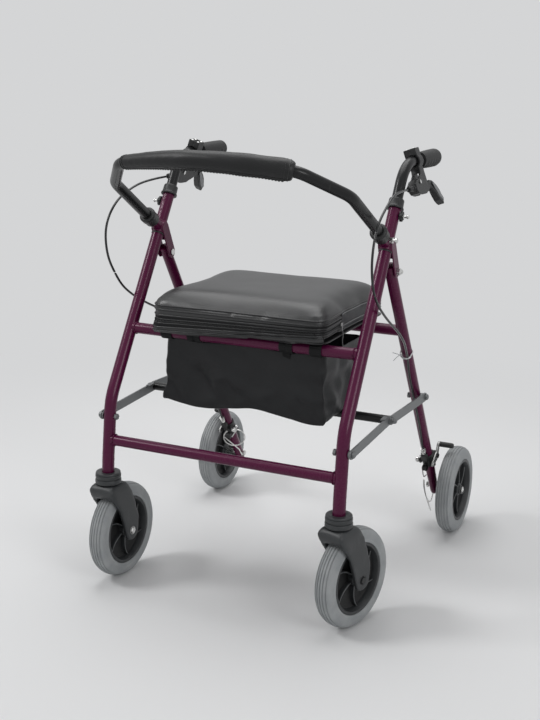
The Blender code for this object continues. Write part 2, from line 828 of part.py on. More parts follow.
def lever_bracket():
    """Clamp round the handle tube, slotted housing, pivot pin and adjuster barrel."""
    low, high = CLAMP_Y
    bore = bore_radius(HANDLE_DIA / 2, GAP, ROUND_SIDES)
    clamp = rod(lever_point(low, 0.0), lever_point(high, 0.0), CLAMP_RADIUS, ROUND_SIDES)
    cap = slab(under_handle([(low - 0.001, -0.010), (low - 0.001, -0.0235),
                             (high + 0.001, -0.0235), (high + 0.001, -0.010)]),
               FRAME_HALF - 0.0125, FRAME_HALF + 0.0125)
    column = under_handle([(0.059, 0.010), (0.080, 0.010), (0.081, 0.030), (0.080, 0.050),
                           (0.074, 0.061), (0.060, 0.0665), (0.036, 0.066), (0.018, 0.062),
                           (0.012, 0.0565), (0.012, 0.0435), (0.026, 0.0365),
                           (0.042, 0.0335), (0.055, 0.026), (0.058, 0.018)])
    body = slab(column, FRAME_HALF - HOUSING_HALF, FRAME_HALF + HOUSING_HALF)
    slot_half = LEVER_HALF + GAP
    slot = slab(under_handle([(0.030, 0.090), (0.029, 0.046), (0.034, 0.034), (0.060, 0.024),
                              (0.110, 0.018), (0.110, 0.090)]),
                FRAME_HALF - slot_half, FRAME_HALF + slot_half)
    barrel = turned(
        [(0.0, 0.0), (0.0, BARREL_RADIUS * 0.8), (0.002, BARREL_RADIUS),
         (0.006, BARREL_RADIUS), (0.0065, BARREL_RADIUS * 0.82), (0.0085, BARREL_RADIUS * 0.82),
         (0.009, BARREL_RADIUS), (0.024, BARREL_RADIUS), (0.024, 0.0)],
        lever_point(BARREL_Y[0], CABLE_DROP), Y_AXIS, SMALL_SIDES)
    pin_y = lever_point(PIVOT_Y, PIVOT_DROP)
    reach = HOUSING_HALF + 0.0015
    pin = rod(at_x(pin_y, FRAME_HALF - reach), at_x(pin_y, FRAME_HALF + reach),
              PIVOT_DIA / 2, SMALL_SIDES)
    split = slab(under_handle([(low - 0.01, -0.006), (low - 0.01, -0.030),
                               (high + 0.01, -0.030), (high + 0.01, -0.006)]),
                 FRAME_HALF - 0.0008, FRAME_HALF + 0.0008)
    frame = fuse(carve(fuse(clamp, body), slot), cap, barrel, pin)
    hole = rod(lever_point(low - 0.04, 0.0), lever_point(high + 0.04, 0.0), bore, ROUND_SIDES)
    return lean_lever(carve(frame, hole, split))


def brake_lever():
    """Curved lever blade on its pivot, with the closed loop at its end."""
    blade = [(0.0375, 0.0480), (0.0440, 0.0490), (0.0740, 0.0625), (0.0850, 0.0640),
             (0.0950, 0.0600), (0.1040, 0.0560), (0.1120, 0.0590), (0.1330, 0.0860),
             (0.1480, 0.0960), (0.1560, 0.0900), (0.1580, 0.0840), (0.1350, 0.0570),
             (0.1180, 0.0440), (0.1050, 0.0420), (0.0900, 0.0490), (0.0780, 0.0500),
             (0.0600, 0.0410), (0.0440, 0.0345), (0.0375, 0.0350), (0.0325, 0.0385),
             (0.0325, 0.0450)]
    body = slab(under_handle(blade), FRAME_HALF - LEVER_HALF, FRAME_HALF + LEVER_HALF)
    loop = []
    for along, wide in ((0.1140, 0.0050), (0.1250, 0.0068), (0.1420, 0.0074),
                        (0.1520, 0.0062), (0.1570, 0.0030)):
        loop.append((along, wide))
    outline = [(FRAME_HALF + wide, along) for along, wide in loop]
    outline += [(FRAME_HALF - wide, along) for along, wide in reversed(loop)]
    plate = loft([[Vector((x, along, HANDLE_Z - drop)) for x, along in outline]
                  for drop in (0.030, 0.110)])
    wide_part = slab(under_handle(blade[5:15]), FRAME_HALF - 0.009, FRAME_HALF + 0.009)
    paddle = boolean(wide_part, plate, "INTERSECT")
    pin = lever_point(PIVOT_Y, PIVOT_DROP)
    hole = pin_bore(pin, PIVOT_DIA)
    return lean_lever(carve(fuse(body, paddle), hole))


# Rear frame


def rear_leg():
    """Rear leg tube, flattened towards its foot, with its cross holes."""
    length = (AXLE - HINGE).length
    stations = [-REAR_LEG_OVER, length - 0.075, length - 0.045, length - 0.012,
                length + REAR_LEG_UNDER - 0.007, length + REAR_LEG_UNDER]
    shapes = [(1.0, 1.0), (1.0, 1.0), (0.90, 1.08), (0.80, 1.14), (0.80, 1.08), (0.72, 0.70)]
    points = [rear_at(along) for along in stations]
    outer = along_path(points, REAR_LEG_DIA / 2, TUBE_SIDES, X_AXIS, lambda i: shapes[i])
    bore_points = points[:4]
    inner = along_path(bore_points, REAR_LEG_BORE / 2, TUBE_SIDES, X_AXIS,
                       lambda i: shapes[i])
    leg = loft(outer, inner, through=False)
    pin = pin_bore(HINGE, HINGE_PIN_DIA)
    axle = pin_bore(AXLE, AXLE_DIA)
    link = pin_bore(rear_at(REAR_PIVOT_ALONG), LINK_BOLT_DIA)
    return carve(leg, pin, axle, link)


def hinge_bolt():
    """Fold hinge bolt through the channel's cheeks and the rear leg."""
    cheek = REAR_LEG_DIA / 2 + GAP + CHEEK_WALL

    def out(offset):
        return at_x(HINGE, FRAME_HALF + offset)

    shank = rod(out(-cheek - 0.001), out(cheek + 0.008), HINGE_PIN_DIA / 2)
    head = rod(out(-cheek - 0.003), out(-cheek - GAP), 0.0068, SMALL_SIDES, 0.0006)
    nut = turned([(0.0, 0.0), (0.0, 0.0072), (0.0055, 0.0072), (0.0062, 0.0055),
                  (0.0095, 0.0040), (0.0112, 0.0)], out(cheek + GAP), X_AXIS, 6)
    return fuse(shank, head, nut)


def rear_axle():
    """Axle bolt with its spacer and both nuts."""

    def out(x):
        return at_x(AXLE, x)

    leg_half = REAR_LEG_DIA / 2
    hub_in = REAR_WHEEL_X - REAR_HUB_HALF
    hub_out = REAR_WHEEL_X + REAR_HUB_HALF
    shank = rod(out(FRAME_HALF - 0.0165), out(hub_out + 0.001), AXLE_DIA / 2)
    spacer = rod(out(FRAME_HALF + leg_half + GAP), out(hub_in - GAP), 0.0075, ROUND_SIDES)
    nut_in = rod(out(FRAME_HALF - 0.0155), out(FRAME_HALF - leg_half - GAP), 0.0068, 6)
    nut_out = turned([(0.0, 0.0), (0.0, 0.0075), (0.0035, 0.0075), (0.0052, 0.0045),
                      (0.0052, 0.0)], out(hub_out + GAP), X_AXIS, 6)
    return fuse(shank, spacer, nut_in, nut_out)


# Wheels, drawn about the origin with their axle along X


def wheel_turned(profile):
    """Turn a wheel's profile about X, with one of its flats facing the floor."""
    return turned(profile, Vector(), X_AXIS, WHEEL_SIDES)


def tyre():
    """Solid tyre with tread grooves and rounded shoulders."""
    half = TYRE_WIDTH / 2
    crown = WHEEL_RADIUS / math.cos(math.pi / WHEEL_SIDES)
    left = [
        (-half, RIM_RADIUS),
        (-half, crown * 0.87),
        (-half * 0.80, crown * 0.958),
        (-half * 0.50, crown * 0.990),
        (-half * 0.40, crown * 0.972),
        (-half * 0.28, crown),
    ]
    right = [(-distance, radius) for distance, radius in reversed(left)]
    return wheel_turned(left + right)


def rib_place(turn, radius):
    """Return the (y, z) place at a radius on a rib's swept centre line."""
    sweep = math.radians(26.0) * (radius / RIM_RADIUS) ** 2
    return radius * math.cos(turn + sweep), radius * math.sin(turn + sweep)


def rib(turn, start, end):
    """Return one swept rib that stands on both faces of the web, between two radii."""
    steps = 4
    rows = []
    for index in range(steps + 1):
        radius = start + (end - start) * index / steps
        centre = Vector((0.0, *rib_place(turn, radius)))
        ahead = Vector((0.0, *rib_place(turn, radius + 0.001)))
        across = centre.normalized().cross(X_AXIS)
        lean = abs((ahead - centre).normalized().cross(X_AXIS).dot(across))
        half_wide = RIB_HALF_WIDE / lean
        rows.append([
            centre + across * half_wide - X_AXIS * RIB_HALF_DEEP,
            centre + across * half_wide + X_AXIS * RIB_HALF_DEEP,
            centre - across * half_wide + X_AXIS * RIB_HALF_DEEP,
            centre - across * half_wide - X_AXIS * RIB_HALF_DEEP,
        ])
    return loft(rows)


def hub(half):
    """Moulded hub: stepped rim, thin web, six swept ribs and a bored core."""
    rim_out = RIM_RADIUS - GAP
    lip = TYRE_WIDTH / 2 - GAP
    bed = rim_out - RIM_WALL
    bore = bore_radius(AXLE_DIA / 2, PIN_PLAY, ROUND_SIDES)
    rim = wheel_turned(
        [(-lip, rim_out), (lip, rim_out), (lip, rim_out - 0.0028), (lip * 0.62, bed),
         (-lip * 0.62, bed), (-lip, rim_out - 0.0028)])
    web = wheel_turned([(-WEB_HALF, HUB_RADIUS * 0.8), (WEB_HALF, HUB_RADIUS * 0.8),
                        (WEB_HALF, bed + 0.0018), (-WEB_HALF, bed + 0.0018)])
    core = turned(
        [(-half, bore), (-half, HUB_RADIUS * 0.72), (-half * 0.7, HUB_RADIUS),
         (half * 0.7, HUB_RADIUS), (half, HUB_RADIUS * 0.72), (half, bore)],
        Vector(), X_AXIS, ROUND_SIDES)
    wheel = fuse(rim, web, core)
    for index in range(RIBS):
        turn = 2 * math.pi * (index + 0.3) / RIBS
        wheel = fuse(wheel, rib(turn, HUB_RADIUS * 0.78, bed + 0.0022))
    return wheel


# Casters, drawn with the stem's axis at x = y = 0 and no swivel


def caster_collar():
    """Ringed cup that holds the swivel stem under the leg."""
    sides = ROUND_SIDES + 4
    leg = bore_radius(LEG_DIA / 2, GAP, sides)
    stem = bore_radius(STEM_DIA / 2, PIN_PLAY, sides)
    shoulder = LEG_FOOT_Z - GAP
    profile = [
        (CROWN_Z + GAP, stem),
        (CROWN_Z + GAP, CUP_RADIUS * 0.93),
        (CROWN_Z + 0.0018, CUP_RADIUS * 0.985),
        (CROWN_Z + 0.0090, CUP_RADIUS * 0.965),
        (CROWN_Z + 0.0105, CUP_RADIUS * 0.90),
        (CROWN_Z + 0.0125, CUP_RADIUS * 0.90),
        (CROWN_Z + 0.0140, CUP_RADIUS),
        (CROWN_Z + 0.0185, CUP_RADIUS),
        (CUP_TOP_Z - 0.0025, CUP_RADIUS * 0.90),
        (CUP_TOP_Z - 0.0005, CUP_RADIUS * 0.56),
        (CUP_TOP_Z, leg),
        (shoulder, leg),
        (shoulder, stem),
    ]
    return turned(profile, Vector(), Z_AXIS, sides)


def fork_side():
    """Return the fork's side outline in (y, z), from the crown round the foot."""
    foot = arc((TRAIL, WHEEL_RADIUS), 0.0205, -140, -20, 5)
    crown = CROWN_Z
    front = [(-0.0200, crown), (-0.0295, crown - 0.009), (-0.0285, crown - 0.018),
             (-0.0160, crown - 0.036), (0.0020, crown - 0.060), (0.0150, crown - 0.090)]
    rear = [(TRAIL + 0.022, WHEEL_RADIUS + 0.025), (TRAIL + 0.010, crown - 0.051),
            (TRAIL, crown - 0.024), (0.0300, crown - 0.004), (0.0240, crown)]
    return front + foot + rear


def fork_front():
    """Return the fork's front outline in (x, z), with its round shoulders."""
    half = FORK_HALF
    right = [(half * 0.80, CROWN_Z + 0.001), (half, CROWN_Z - 0.009),
             (half * 1.02, CROWN_Z - 0.026), (half * 0.955, WHEEL_RADIUS + 0.025),
             (half * 0.90, WHEEL_RADIUS - 0.035)]
    left = [(-x, z) for x, z in reversed(right)]
    return right + left


def caster_fork():
    """Moulded fork: two swept arms under a scooped crown, and the swivel stem."""
    side = slab(fork_side(), -0.04, 0.04)
    front = loft([[Vector((x, y, z)) for x, z in fork_front()] for y in (-0.05, 0.09)])
    body = boolean(side, front, "INTERSECT")
    axle = Vector((0.0, TRAIL, WHEEL_RADIUS))
    well_radius = WHEEL_RADIUS + FORK_CLEAR
    well = turned(
        [(-FORK_INNER, 0.0), (-FORK_INNER, well_radius - 0.007),
         (-FORK_INNER + 0.005, well_radius), (FORK_INNER - 0.005, well_radius),
         (FORK_INNER, well_radius - 0.007), (FORK_INNER, 0.0)], axle, X_AXIS, WHEEL_SIDES + 4)
    neck_ring = 0.0205
    scoop = turned(
        [(CROWN_Z - 0.0065, neck_ring), (CROWN_Z - 0.0045, neck_ring + 0.0050),
         (CROWN_Z + 0.0010, neck_ring + 0.0066), (CROWN_Z + 0.0050, neck_ring),
         (CROWN_Z + 0.0010, neck_ring - 0.0066), (CROWN_Z - 0.0045, neck_ring - 0.0050)],
        Vector(), Z_AXIS, ROUND_SIDES)
    hole = pin_bore(axle, AXLE_DIA, -0.05, 0.05)
    seat_depth = FORK_HALF * 0.92 - 0.0022
    seats = []
    for side_sign in SIDES.values():
        inner = axle + X_AXIS * side_sign * seat_depth
        seats.append(rod(inner, axle + X_AXIS * side_sign * 0.05, 0.0078, ROUND_SIDES))
    stem = rod(Vector((0.0, 0.0, CROWN_Z - 0.004)), Vector((0.0, 0.0, STEM_TOP_Z)),
               STEM_DIA / 2, ROUND_SIDES, 0.001)
    return fuse(carve(body, well, scoop, hole, *seats), stem)


def caster_axle():
    """Axle bolt whose head and nut sit in the arms' recesses."""
    seat_depth = FORK_HALF * 0.92 - 0.0022 + GAP
    axle = Vector((0.0, TRAIL, WHEEL_RADIUS))
    shank = rod(axle - X_AXIS * (seat_depth + 0.001), axle + X_AXIS * (seat_depth + 0.001),
                AXLE_DIA / 2)
    head = rod(axle + X_AXIS * seat_depth, axle + X_AXIS * (seat_depth + 0.0045),
               0.0068, 6, 0.0006)
    nut = rod(axle - X_AXIS * (seat_depth + 0.0045), axle - X_AXIS * seat_depth,
              0.0068, 6, 0.0006)
    return fuse(shank, head, nut)


# Fold links


def link_bar(start, end, low_x, stop=False):
    """Flat bar with round ends between two (y, z) pivots, outboard of the legs."""
    ahead = at_x(end - start, 0.0).normalized()
    heading = math.degrees(math.atan2(ahead.z, ahead.y))
    radius = LINK_WIDTH / 2
    outline = arc((end.y, end.z), radius, heading - 90, heading + 90, 6)
    outline += arc((start.y, start.z), radius, heading + 90, heading + 270, 6)
    bar = slab(outline, low_x, low_x + LINK_WALL)
    if not stop:
        return bar
    up = X_AXIS.cross(ahead)
    root = end - ahead * 0.030 + up * (radius - 0.002)
    tip = root + ahead * 0.020
    tab = [(place.y, place.z) for place in (root, tip, tip + up * 0.0035, root + up * 0.0035)]
    return fuse(bar, slab(tab, low_x - 0.006, low_x + LINK_WALL - 0.0002))


def pivot_bolt(place, inner_face, link_x, head_end):
    """Bolt of a fold link: nut, shank, spacer washers and head."""
    outer_face = 2 * FRAME_HALF - inner_face

    def out(x):
        return at_x(place, x)

    shank = rod(out(inner_face - 0.005), out(link_x + 0.001), LINK_BOLT_DIA / 2)
    nut = rod(out(inner_face - 0.0055), out(inner_face - GAP), 0.0062, 6)
    washer = rod(out(outer_face + GAP), out(link_x + 0.0005), 0.0075, ROUND_SIDES)
    head = rod(out(link_x + LINK_WALL - 0.0005), out(head_end), 0.0062, SMALL_SIDES, 0.0015)
    return shank, nut, washer, head


def front_link():
    """Front fold link with its bolt through the front leg."""
    middle = Vector((0.0, *MIDDLE_PIVOT))
    pivot = front_pivot()
    bar = link_bar(pivot, middle, FRONT_LINK_X, stop=True)
    face = FRAME_HALF - LEG_DIA / 2
    return fuse(bar, *pivot_bolt(pivot, face, FRONT_LINK_X, FRONT_LINK_X + 0.0085))


def rear_link():
    """Rear fold link with its bolt through the rear leg and the middle nut."""
    middle = Vector((0.0, *MIDDLE_PIVOT))
    pivot = rear_at(REAR_PIVOT_ALONG)
    bar = link_bar(pivot, middle, REAR_LINK_X)
    face = FRAME_HALF - REAR_LEG_DIA / 2
    outer = REAR_LINK_X + LINK_WALL
    nut = turned([(0.0, 0.0), (0.0, 0.0080), (0.0014, 0.0080), (0.0014, 0.0062),
                  (0.0060, 0.0062), (0.0100, 0.0045), (0.0105, 0.0)],
                 at_x(middle, outer - 0.0004), X_AXIS, SMALL_SIDES)
    return fuse(bar, nut, *pivot_bolt(pivot, face, REAR_LINK_X, outer + 0.0055))


def fold_crossbar():
    """Round bar between the front links at the middle pivot."""
    end = FRONT_LINK_X - GAP
    middle = Vector((0.0, *MIDDLE_PIVOT))
    return rod(at_x(middle, -end), at_x(middle, end), CROSSBAR_RADIUS, TUBE_SIDES, 0.001)


# Rear brakes


def brake_outline(pairs):
    """Return a (y, z) outline from (along, behind) pairs on the rear leg."""
    places = [rear_at(along, behind) for along, behind in pairs]
    return [(place.y, place.z) for place in places]


def brake_bracket():
    """Band round the rear leg with the brake's pivot plate, pin and cable stop."""
    low, high = BRAKE_BAND
    leg = REAR_LEG_DIA / 2
    band_out = leg + GAP + BAND_WALL
    band = rod(rear_at(low), rear_at(high), band_out, ROUND_SIDES)
    plate = slab(brake_outline([(low + 0.002, -0.008), (low + 0.002, 0.010),
                                (low + 0.010, 0.0175), (high - 0.008, 0.0175),
                                (high - 0.001, 0.008), (high - 0.001, -0.008)]),
                 FRAME_HALF + 0.002, FRAME_HALF + band_out)
    block = slab(brake_outline([(CABLE_STOP_ALONG + 0.004, CABLE_STOP_BEHIND - 0.0052),
                                (CABLE_STOP_ALONG + 0.004, -0.0121),
                                (low + 0.0015, -0.0121), (low + 0.0015, -0.004),
                                (high - 0.006, -0.004), (high - 0.006, -0.0128),
                                (low + 0.008, -0.0128),
                                (low + 0.004, CABLE_STOP_BEHIND - 0.0052)]),
                 FRAME_HALF - 0.0065, FRAME_HALF + 0.0065)
    stop = rod(rear_at(CABLE_STOP_ALONG, CABLE_STOP_BEHIND),
               rear_at(CABLE_STOP_ALONG + 0.010, CABLE_STOP_BEHIND), 0.0045, SMALL_SIDES)
    place = rear_at(*BRAKE_PIVOT)
    face = FRAME_HALF + band_out
    pin = rod(at_x(place, FRAME_HALF + 0.008), at_x(place, face + ARM_WALL + 0.0035),
              BRAKE_PIN_DIA / 2, SMALL_SIDES)
    head = rod(at_x(place, face + ARM_WALL + 2 * GAP), at_x(place, face + ARM_WALL + 0.0038),
               0.0050, SMALL_SIDES)
    bolt_at = rear_at((low + high) / 2 - 0.006, -0.0145)
    bolt = rod(at_x(bolt_at, FRAME_HALF - 0.0175), at_x(bolt_at, FRAME_HALF + 0.004),
               0.0034, SMALL_SIDES)
    nut = rod(at_x(bolt_at, FRAME_HALF - 0.0140), at_x(bolt_at, FRAME_HALF - 0.0088),
              0.0064, 6)
    bore = rod(rear_at(low - 0.02), rear_at(high + 0.02),
               bore_radius(leg, GAP, ROUND_SIDES), ROUND_SIDES)
    body = carve(fuse(band, plate, block), bore)
    return fuse(body, stop, pin, head, bolt, nut)


def brake_shoe():
    """Bell crank beside the leg with the sleeve that presses on the tyre."""
    face = FRAME_HALF + REAR_LEG_DIA / 2 + GAP + BAND_WALL + GAP
    pivot, pad, anchor = BRAKE_PIVOT, BRAKE_PAD, BRAKE_ANCHOR
    crank = [(pivot[0] - 0.0105, pivot[1] + 0.001), (pad[0] - 0.0055, pad[1] - 0.003),
             (pad[0] - 0.004, pad[1] + 0.0045), (pad[0] + 0.004, pad[1] + 0.005),
             (pivot[0] + 0.002, pivot[1] + 0.0115), (pivot[0] + 0.0095, pivot[1] + 0.004),
             (pivot[0] + 0.0085, pivot[1] - 0.006), (anchor[0] + 0.0065, anchor[1] - 0.002),
             (anchor[0] + 0.001, anchor[1] - 0.0065), (anchor[0] - 0.0055, anchor[1] - 0.002),
             (pivot[0] - 0.0110, pivot[1] - 0.008)]
    plate = slab(brake_outline(crank), face, face + ARM_WALL)
    pad_at = rear_at(*pad)
    tube = turned([(0.0, 0.0), (0.0, SLEEVE_RADIUS), (0.030, SLEEVE_RADIUS),
                   (0.0335, SLEEVE_RADIUS * 0.72), (0.0345, 0.0)],
                  at_x(pad_at, SLEEVE_END_X - 0.0345), X_AXIS, SMALL_SIDES)
    anchor_at = rear_at(*anchor)
    stud = rod(at_x(anchor_at, face + 0.0004), at_x(anchor_at, face + ARM_WALL + 0.0045),
               0.0034, SMALL_SIDES)
    hole = pin_bore(rear_at(*pivot), BRAKE_PIN_DIA)
    return carve(fuse(plate, tube, stud), hole)


# Seat and bag


def rounded_plan(half_x, front_y, rear_y, radius, z):
    """Return a ring round a rectangle with round corners at one height."""
    points = []
    corners = (
        (half_x - radius, rear_y - radius, 0),
        (-half_x + radius, rear_y - radius, 90),
        (-half_x + radius, front_y + radius, 180),
        (half_x - radius, front_y + radius, 270),
    )
    for x, y, start in corners:
        for px, py in arc((x, y), radius, start, start + 90, 4):
            points.append(Vector((px, py, z)))
    return points


def seat_rail_centre():
    """Return the seat rail's axis point on the side frame."""
    return leg_at(SEAT_RAIL_ALONG)


def board_low():
    """Return the height of the seat board's underside, on the bag's loops."""
    loop = bore_radius(RAIL_DIA / 2, GAP, ROUND_SIDES) + STRAP_WALL
    return seat_rail_centre().z + loop + GAP


def seat_cushion():
    """Crowned cushion with its boxing, and the flap before the front rail."""
    base = board_low() + BOARD_WALL + GAP
    steps = [
        (base, 0.004), (base + 0.004, 0.0), (SEAT_SEAM_Z - 0.003, 0.0),
        (SEAT_SEAM_Z + 0.003, 0.001), (SEAT_SEAM_Z + 0.011, 0.006),
        (SEAT_CROWN_Z - 0.007, 0.014), (SEAT_CROWN_Z - 0.002, 0.032), (SEAT_CROWN_Z, 0.070),
    ]
    rings = []
    for z, inset in steps:
        rings.append(rounded_plan(SEAT_HALF - inset, SEAT_FRONT_Y + inset,
                                  SEAT_REAR_Y - inset, 0.030, z))
    cushion = loft(rings)
    flap = slab([(SEAT_FRONT_Y + 0.0004, base + 0.020), (SEAT_FRONT_Y + 0.0004, FLAP_LOW_Z),
                 (SEAT_FRONT_Y + FLAP_WALL, FLAP_LOW_Z), (SEAT_FRONT_Y + FLAP_WALL, base + 0.020)],
                -SEAT_HALF + 0.030, SEAT_HALF - 0.030)
    return fuse(cushion, flap)


def seat_base():
    """Seat board on the rails, with two loops round the front rail."""
    centre = seat_rail_centre()
    low = board_low()
    front = SEAT_FRONT_Y + FLAP_WALL + GAP * 2
    rings = [rounded_plan(SEAT_HALF - 0.006, front, SEAT_REAR_Y - 0.004, 0.03, z)
             for z in (low, low + BOARD_WALL)]
    board = loft(rings)
    inner = bore_radius(RAIL_DIA / 2, GAP, ROUND_SIDES)
    for side in SIDES.values():
        start = at_x(centre, side * STRAP_X - STRAP_WIDTH / 2)
        end = at_x(centre, side * STRAP_X + STRAP_WIDTH / 2)
        board = fuse(board, sleeve(start, end, inner + LOOP_WALL, inner))
    return board


def bag_ring(z, share, skin):
    """Return the bag's ring at one height; share runs from the rim to the floor."""
    rear = BAG_REAR_Y + (-0.066 - BAG_REAR_Y) * share ** 1.2
    inset = 0.010 * share ** 4
    half = BAG_HALF - inset - skin
    return rounded_plan(half, BAG_FRONT_Y + inset + skin, rear - skin, 0.020, z)


def bag():
    """Open bag of sheet cloth hung from both seat rails by four loops."""
    floor_drop = BAG_TOP_Z - BAG_FLOOR_REAR_Z
    shares = (0.0, 0.3, 0.6, 0.85, 1.0)
    outer = [bag_ring(BAG_TOP_Z - floor_drop * share, share, 0.0) for share in shares]
    inner = [bag_ring(BAG_TOP_Z - (floor_drop - BAG_WALL) * share, share, BAG_WALL)
             for share in shares]
    for rings in (outer, inner):
        for point in rings[-1]:
            fall = BAG_FLOOR_REAR_Z - BAG_FLOOR_FRONT_Z
            reach = (point.y - BAG_FRONT_Y) / (-0.066 - BAG_FRONT_Y)
            point.z -= fall * max(0.0, 1.0 - reach * 1.3)
    body = loft(outer, inner, through=False)
    front = seat_rail_centre()
    rear = rear_at(REAR_RAIL_ALONG)
    for side in SIDES.values():
        low_x = side * BAG_HOOK_X - BAG_HOOK_WIDTH / 2
        body = fuse(body, *bag_hook(front, BAG_FRONT_Y, low_x))
        body = fuse(body, *bag_hook(rear, BAG_REAR_Y, low_x))
    return body


def bag_hook(centre, wall_y, low_x):
    """Return one loop round a rail and the strap that carries the bag's rim."""
    high_x = low_x + BAG_HOOK_WIDTH
    inner = bore_radius(RAIL_DIA / 2, GAP, ROUND_SIDES)
    loop = sleeve(at_x(centre, low_x), at_x(centre, high_x), inner + STRAP_WALL, inner)
    toward = 1.0 if wall_y > centre.y else -1.0
    top = centre.z - inner - STRAP_WALL * 0.5
    under = top - STRAP_WALL
    low = BAG_TOP_Z - 0.012
    near = wall_y - toward * (BAG_WALL + 0.0008)
    far = wall_y + toward * (BAG_WALL + 0.0008)
    start = centre.y - toward * 0.002
    strap = slab([(start, top), (far, top), (far, low), (near, low), (near, under),
                  (start, under)], low_x + 0.001, high_x - 0.001)
    return loop, strap


# Cables


def smooth_route(points, step):
    """Return evenly spaced points on a smooth curve through the route's points."""
    fine = []
    padded = [points[0] * 2 - points[1]] + points + [points[-1] * 2 - points[-2]]
    for a, b, c, d in zip(padded, padded[1:], padded[2:], padded[3:]):
        for index in range(24):
            t = index / 24
            fine.append(0.5 * (2 * b + (c - a) * t + (2 * a - 5 * b + 4 * c - d) * t * t
                               + (3 * b - a - 3 * c + d) * t ** 3))
    fine.append(points[-1])
    lengths = [0.0]
    for before, after in zip(fine, fine[1:]):
        lengths.append(lengths[-1] + (after - before).length)
    count = round(lengths[-1] / step)
    even = []
    index = 0
    for mark in range(count + 1):
        want = lengths[-1] * mark / count
        while index < len(lengths) - 2 and lengths[index + 1] < want:
            index += 1
        span = lengths[index + 1] - lengths[index]
        even.append(fine[index].lerp(fine[index + 1], (want - lengths[index]) / span))
    return even


def cable_start(side):
    """Return the cable's first point, at the mouth of the lever's barrel."""
    mouth = lever_point(BARREL_Y[0] - GAP, CABLE_DROP)
    axis = Vector((FRAME_HALF, mouth.y, HANDLE_Z))
    point = axis + Matrix.Rotation(-LEVER_LEAN, 3, "Y") @ (mouth - axis)
    return Vector((point.x * side, point.y, point.z))


def cable_tail(side):
    """Return the cable's points down the rear leg to the brake's cable stop."""
    across = 0.0020
    pairs = [(0.1900, -0.0230, 0.0100), (0.2200, -0.0152, 0.0060), (0.2700, -0.0146, across),
             (0.3420, -0.0148, across), (0.4200, -0.0150, across), (0.4750, -0.0160, 0.0)]
    points = [rear_at(*pair) for pair in pairs]
    points.append(rear_at(CABLE_STOP_ALONG - GAP, CABLE_STOP_BEHIND))
    return [Vector((point.x * side, point.y, point.z)) for point in points]


CABLE_ROUTES = {
    "right": [
        (0.2640, -0.040, 0.7853), (0.2650, -0.070, 0.7848), (0.2650, -0.103, 0.7800),
        (0.2650, -0.143, 0.7610), (0.2650, -0.172, 0.7420), (0.2650, -0.190, 0.7200),
        (0.2650, -0.201, 0.6920), (0.2650, -0.203, 0.6600), (0.2650, -0.192, 0.6220),
        (0.2650, -0.168, 0.5930), (0.2650, -0.135, 0.5680), (0.2650, -0.100, 0.5460),
        (0.2650, -0.060, 0.5230), (0.2640, -0.015, 0.4930),
    ],
    "left": [
        (-0.2660, -0.040, 0.7830), (-0.2720, -0.070, 0.7800), (-0.2750, -0.100, 0.7760),
        (-0.2750, -0.136, 0.7680), (-0.2750, -0.169, 0.7570), (-0.2750, -0.194, 0.7420),
        (-0.2750, -0.213, 0.7230), (-0.2750, -0.2245, 0.7000), (-0.2750, -0.2255, 0.6720),
        (-0.2750, -0.2170, 0.6410), (-0.2750, -0.1980, 0.6120), (-0.2750, -0.1700, 0.5800),
        (-0.2750, -0.1280, 0.5520), (-0.2740, -0.0800, 0.5280), (-0.2680, -0.0250, 0.5010),
    ],
}


def add_cable(name, side_name):
    """Make one brake cable as a bevelled curve along its real route."""
    side = SIDES[side_name]
    start = cable_start(side)
    route = [start, start - Y_AXIS * 0.012]
    route += [Vector(point) for point in CABLE_ROUTES[side_name]]
    route += cable_tail(side)
    points = smooth_route(route, CABLE_STEP)
    curve = bpy.data.curves.new(name, "CURVE")
    curve.dimensions = "3D"
    curve.bevel_depth = CABLE_DIA / 2
    curve.bevel_resolution = 2
    curve.use_fill_caps = True
    spline = curve.splines.new("POLY")
    spline.points.add(len(points) - 1)
    origin = points[0]
    for target, point in zip(spline.points, points):
        target.co = (*(point - origin), 1.0)
    curve.materials.append(finish_material("black_plastic"))
    cable = bpy.data.objects.new(name, curve)
    cable.location = origin
    bpy.context.scene.collection.objects.link(cable)


# Assembly


